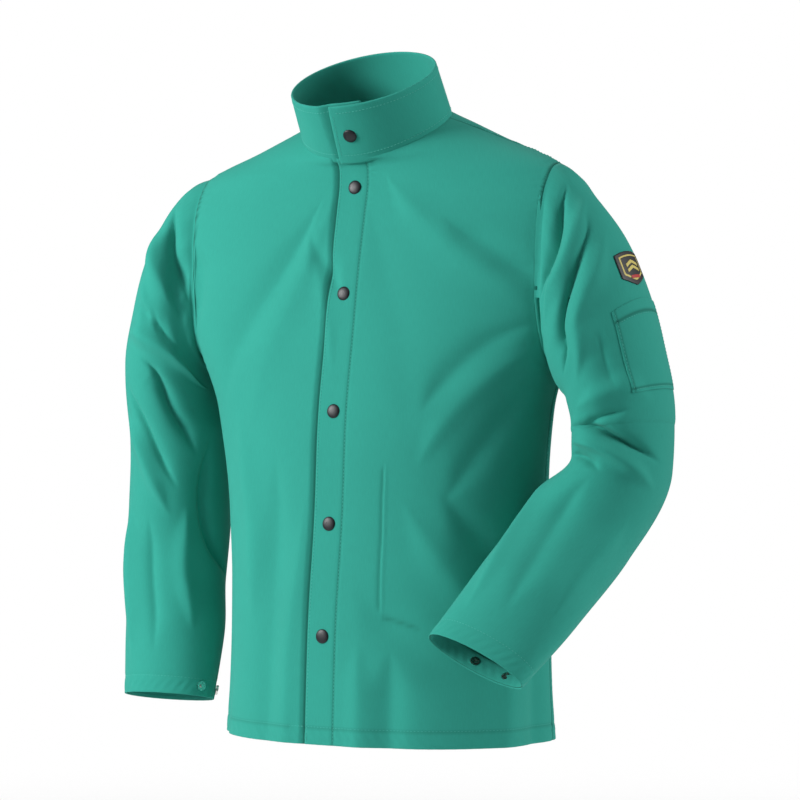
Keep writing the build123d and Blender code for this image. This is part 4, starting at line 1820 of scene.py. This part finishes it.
@dataclass(frozen=True)
class Studio:
    """Pale floor, soft lights and the camera."""

    aim: tuple[float, float, float] = (0.019, 0.011, -0.327)
    away: float = 3.6
    azimuth: float = 30.0
    floor: float = -1.02
    # Name, degrees round from the front, degrees up, metres away, metres across and watts.
    lamps: tuple[tuple[str, float, float, float, float, float], ...] = (
        ("key_lamp", -42, 20, 2.6, 0.9, 70),
        ("fill_lamp", 108, 18, 3.0, 1.2, 52),
        ("top_lamp", 45, 60, 2.4, 1.4, 9),
        ("back_lamp", 205, 16, 3.2, 1.6, 22),
        ("low_lamp", -20, 2, 3.0, 0.8, 9),
    )

    def backdrop(self) -> None:
        """A round pale floor that fades out towards its rim."""
        clear_selection()
        bpy.ops.mesh.primitive_circle_add(vertices=96, radius=3.2, fill_type="NGON",
                                          location=(0, 0, 0))
        floor = bpy.context.object
        floor.name = "studio_floor"
        floor.data.transform(Matrix.Translation((0, 0, self.floor)))
        material, n, shader = principled("Studio white")
        shader["Base Color"].default_value = (0.88, 0.88, 0.88, 1)
        shader["Roughness"].default_value = 0.9
        shader["Emission Color"].default_value = (1, 1, 1, 1)
        shader["Emission Strength"].default_value = 0.16
        place = n.add("ShaderNodeTexCoord")
        flat = n.add("ShaderNodeMapping", Scale=(1 / 2.2, 1 / 2.2, 0))
        n.join(place.outputs["Object"], flat.inputs["Vector"])
        ring = n.add("ShaderNodeTexGradient", gradient_type="SPHERICAL")
        n.join(flat.outputs[0], ring.inputs["Vector"])
        near = n.math("MINIMUM", n.math("MULTIPLY", ring.outputs["Fac"], 1.5), 1.0)
        n.join(n.math("POWER", near, 2.0), shader["Alpha"])
        floor.data.materials.append(material)

    def sky(self) -> None:
        """White surroundings that light the jacket softly."""
        world = bpy.data.worlds.new("Studio")
        bpy.context.scene.world = world
        world.use_nodes = True
        n = Nodes(world.node_tree)
        back = world.node_tree.nodes["Background"]
        path = n.add("ShaderNodeLightPath")
        seen = n.math("MULTIPLY", path.outputs["Is Camera Ray"], 0.88)
        back.inputs["Color"].default_value = (1, 1, 1, 1)
        n.join(n.math("ADD", seen, 0.12), back.inputs["Strength"])

    def lamp(self, name: str, azimuth: float, height: float, away: float, size: float, power: float) -> None:
        """Adds a soft square lamp aimed at the jacket.

        Args:
            name: Name of the lamp.
            azimuth: Degrees round from the front, towards the wearer's left.
            height: Degrees above the horizon.
            away: Metres from the jacket.
            size: Metres across.
            power: Watts.
        """
        a, e = math.radians(azimuth), math.radians(height)
        light = bpy.data.lights.new(name, "AREA")
        light.shape, light.size, light.energy = "SQUARE", size, power
        lamp = bpy.data.objects.new(name, light)
        bpy.context.scene.collection.objects.link(lamp)
        ray = Vector((math.sin(a) * math.cos(e), -math.cos(a) * math.cos(e), math.sin(e)))
        lamp.location = Vector(self.aim) + ray * away
        lamp.rotation_euler = (-ray).to_track_quat("-Z", "Y").to_euler()

    def camera(self) -> None:
        """Long lens at chest height, from the wearer's left front."""
        data = bpy.data.cameras.new("camera")
        data.lens, data.sensor_width = 135.0, 36.0
        camera = bpy.data.objects.new("camera", data)
        bpy.context.scene.collection.objects.link(camera)
        a = math.radians(self.azimuth)
        ray = Vector((math.sin(a), -math.cos(a), 0.0))
        camera.location = Vector(self.aim) + ray * self.away
        camera.rotation_euler = (-ray).to_track_quat("-Z", "Y").to_euler()
        bpy.context.scene.camera = camera

    def build(self) -> None:
        """Builds the studio."""
        self.backdrop()
        self.sky()
        for lamp in self.lamps:
            self.lamp(*lamp)
        self.camera()
        bpy.context.scene.view_settings.view_transform = "Standard"
        LOG.info("made studio")


def main() -> None:
    """Builds the jacket sub-assembly by sub-assembly."""
    logging.basicConfig(level=logging.INFO, format="%(message)s")
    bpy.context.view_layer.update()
    body = OvalSurface(TORSO_RINGS, BODY_FOLDS + POCKET_FOLDS, unevenness=1.2)
    collar = OvalSurface(COLLAR_RINGS)
    sewing = Sewing(body, collar, Finishes.make())
    Body(sewing).build()
    Collar(sewing).build()
    left = Sleeve(sewing, Side.LEFT, LEFT_RINGS, LEFT_FOLDS, elbow=6)
    right = Sleeve(sewing, Side.RIGHT, RIGHT_RINGS, RIGHT_FOLDS, elbow=5)
    left.build()
    right.build()
    ArmPatches(sewing, left).build()
    Snaps(sewing).build()
    Studio().build()


if __name__ == "__main__":
    main()
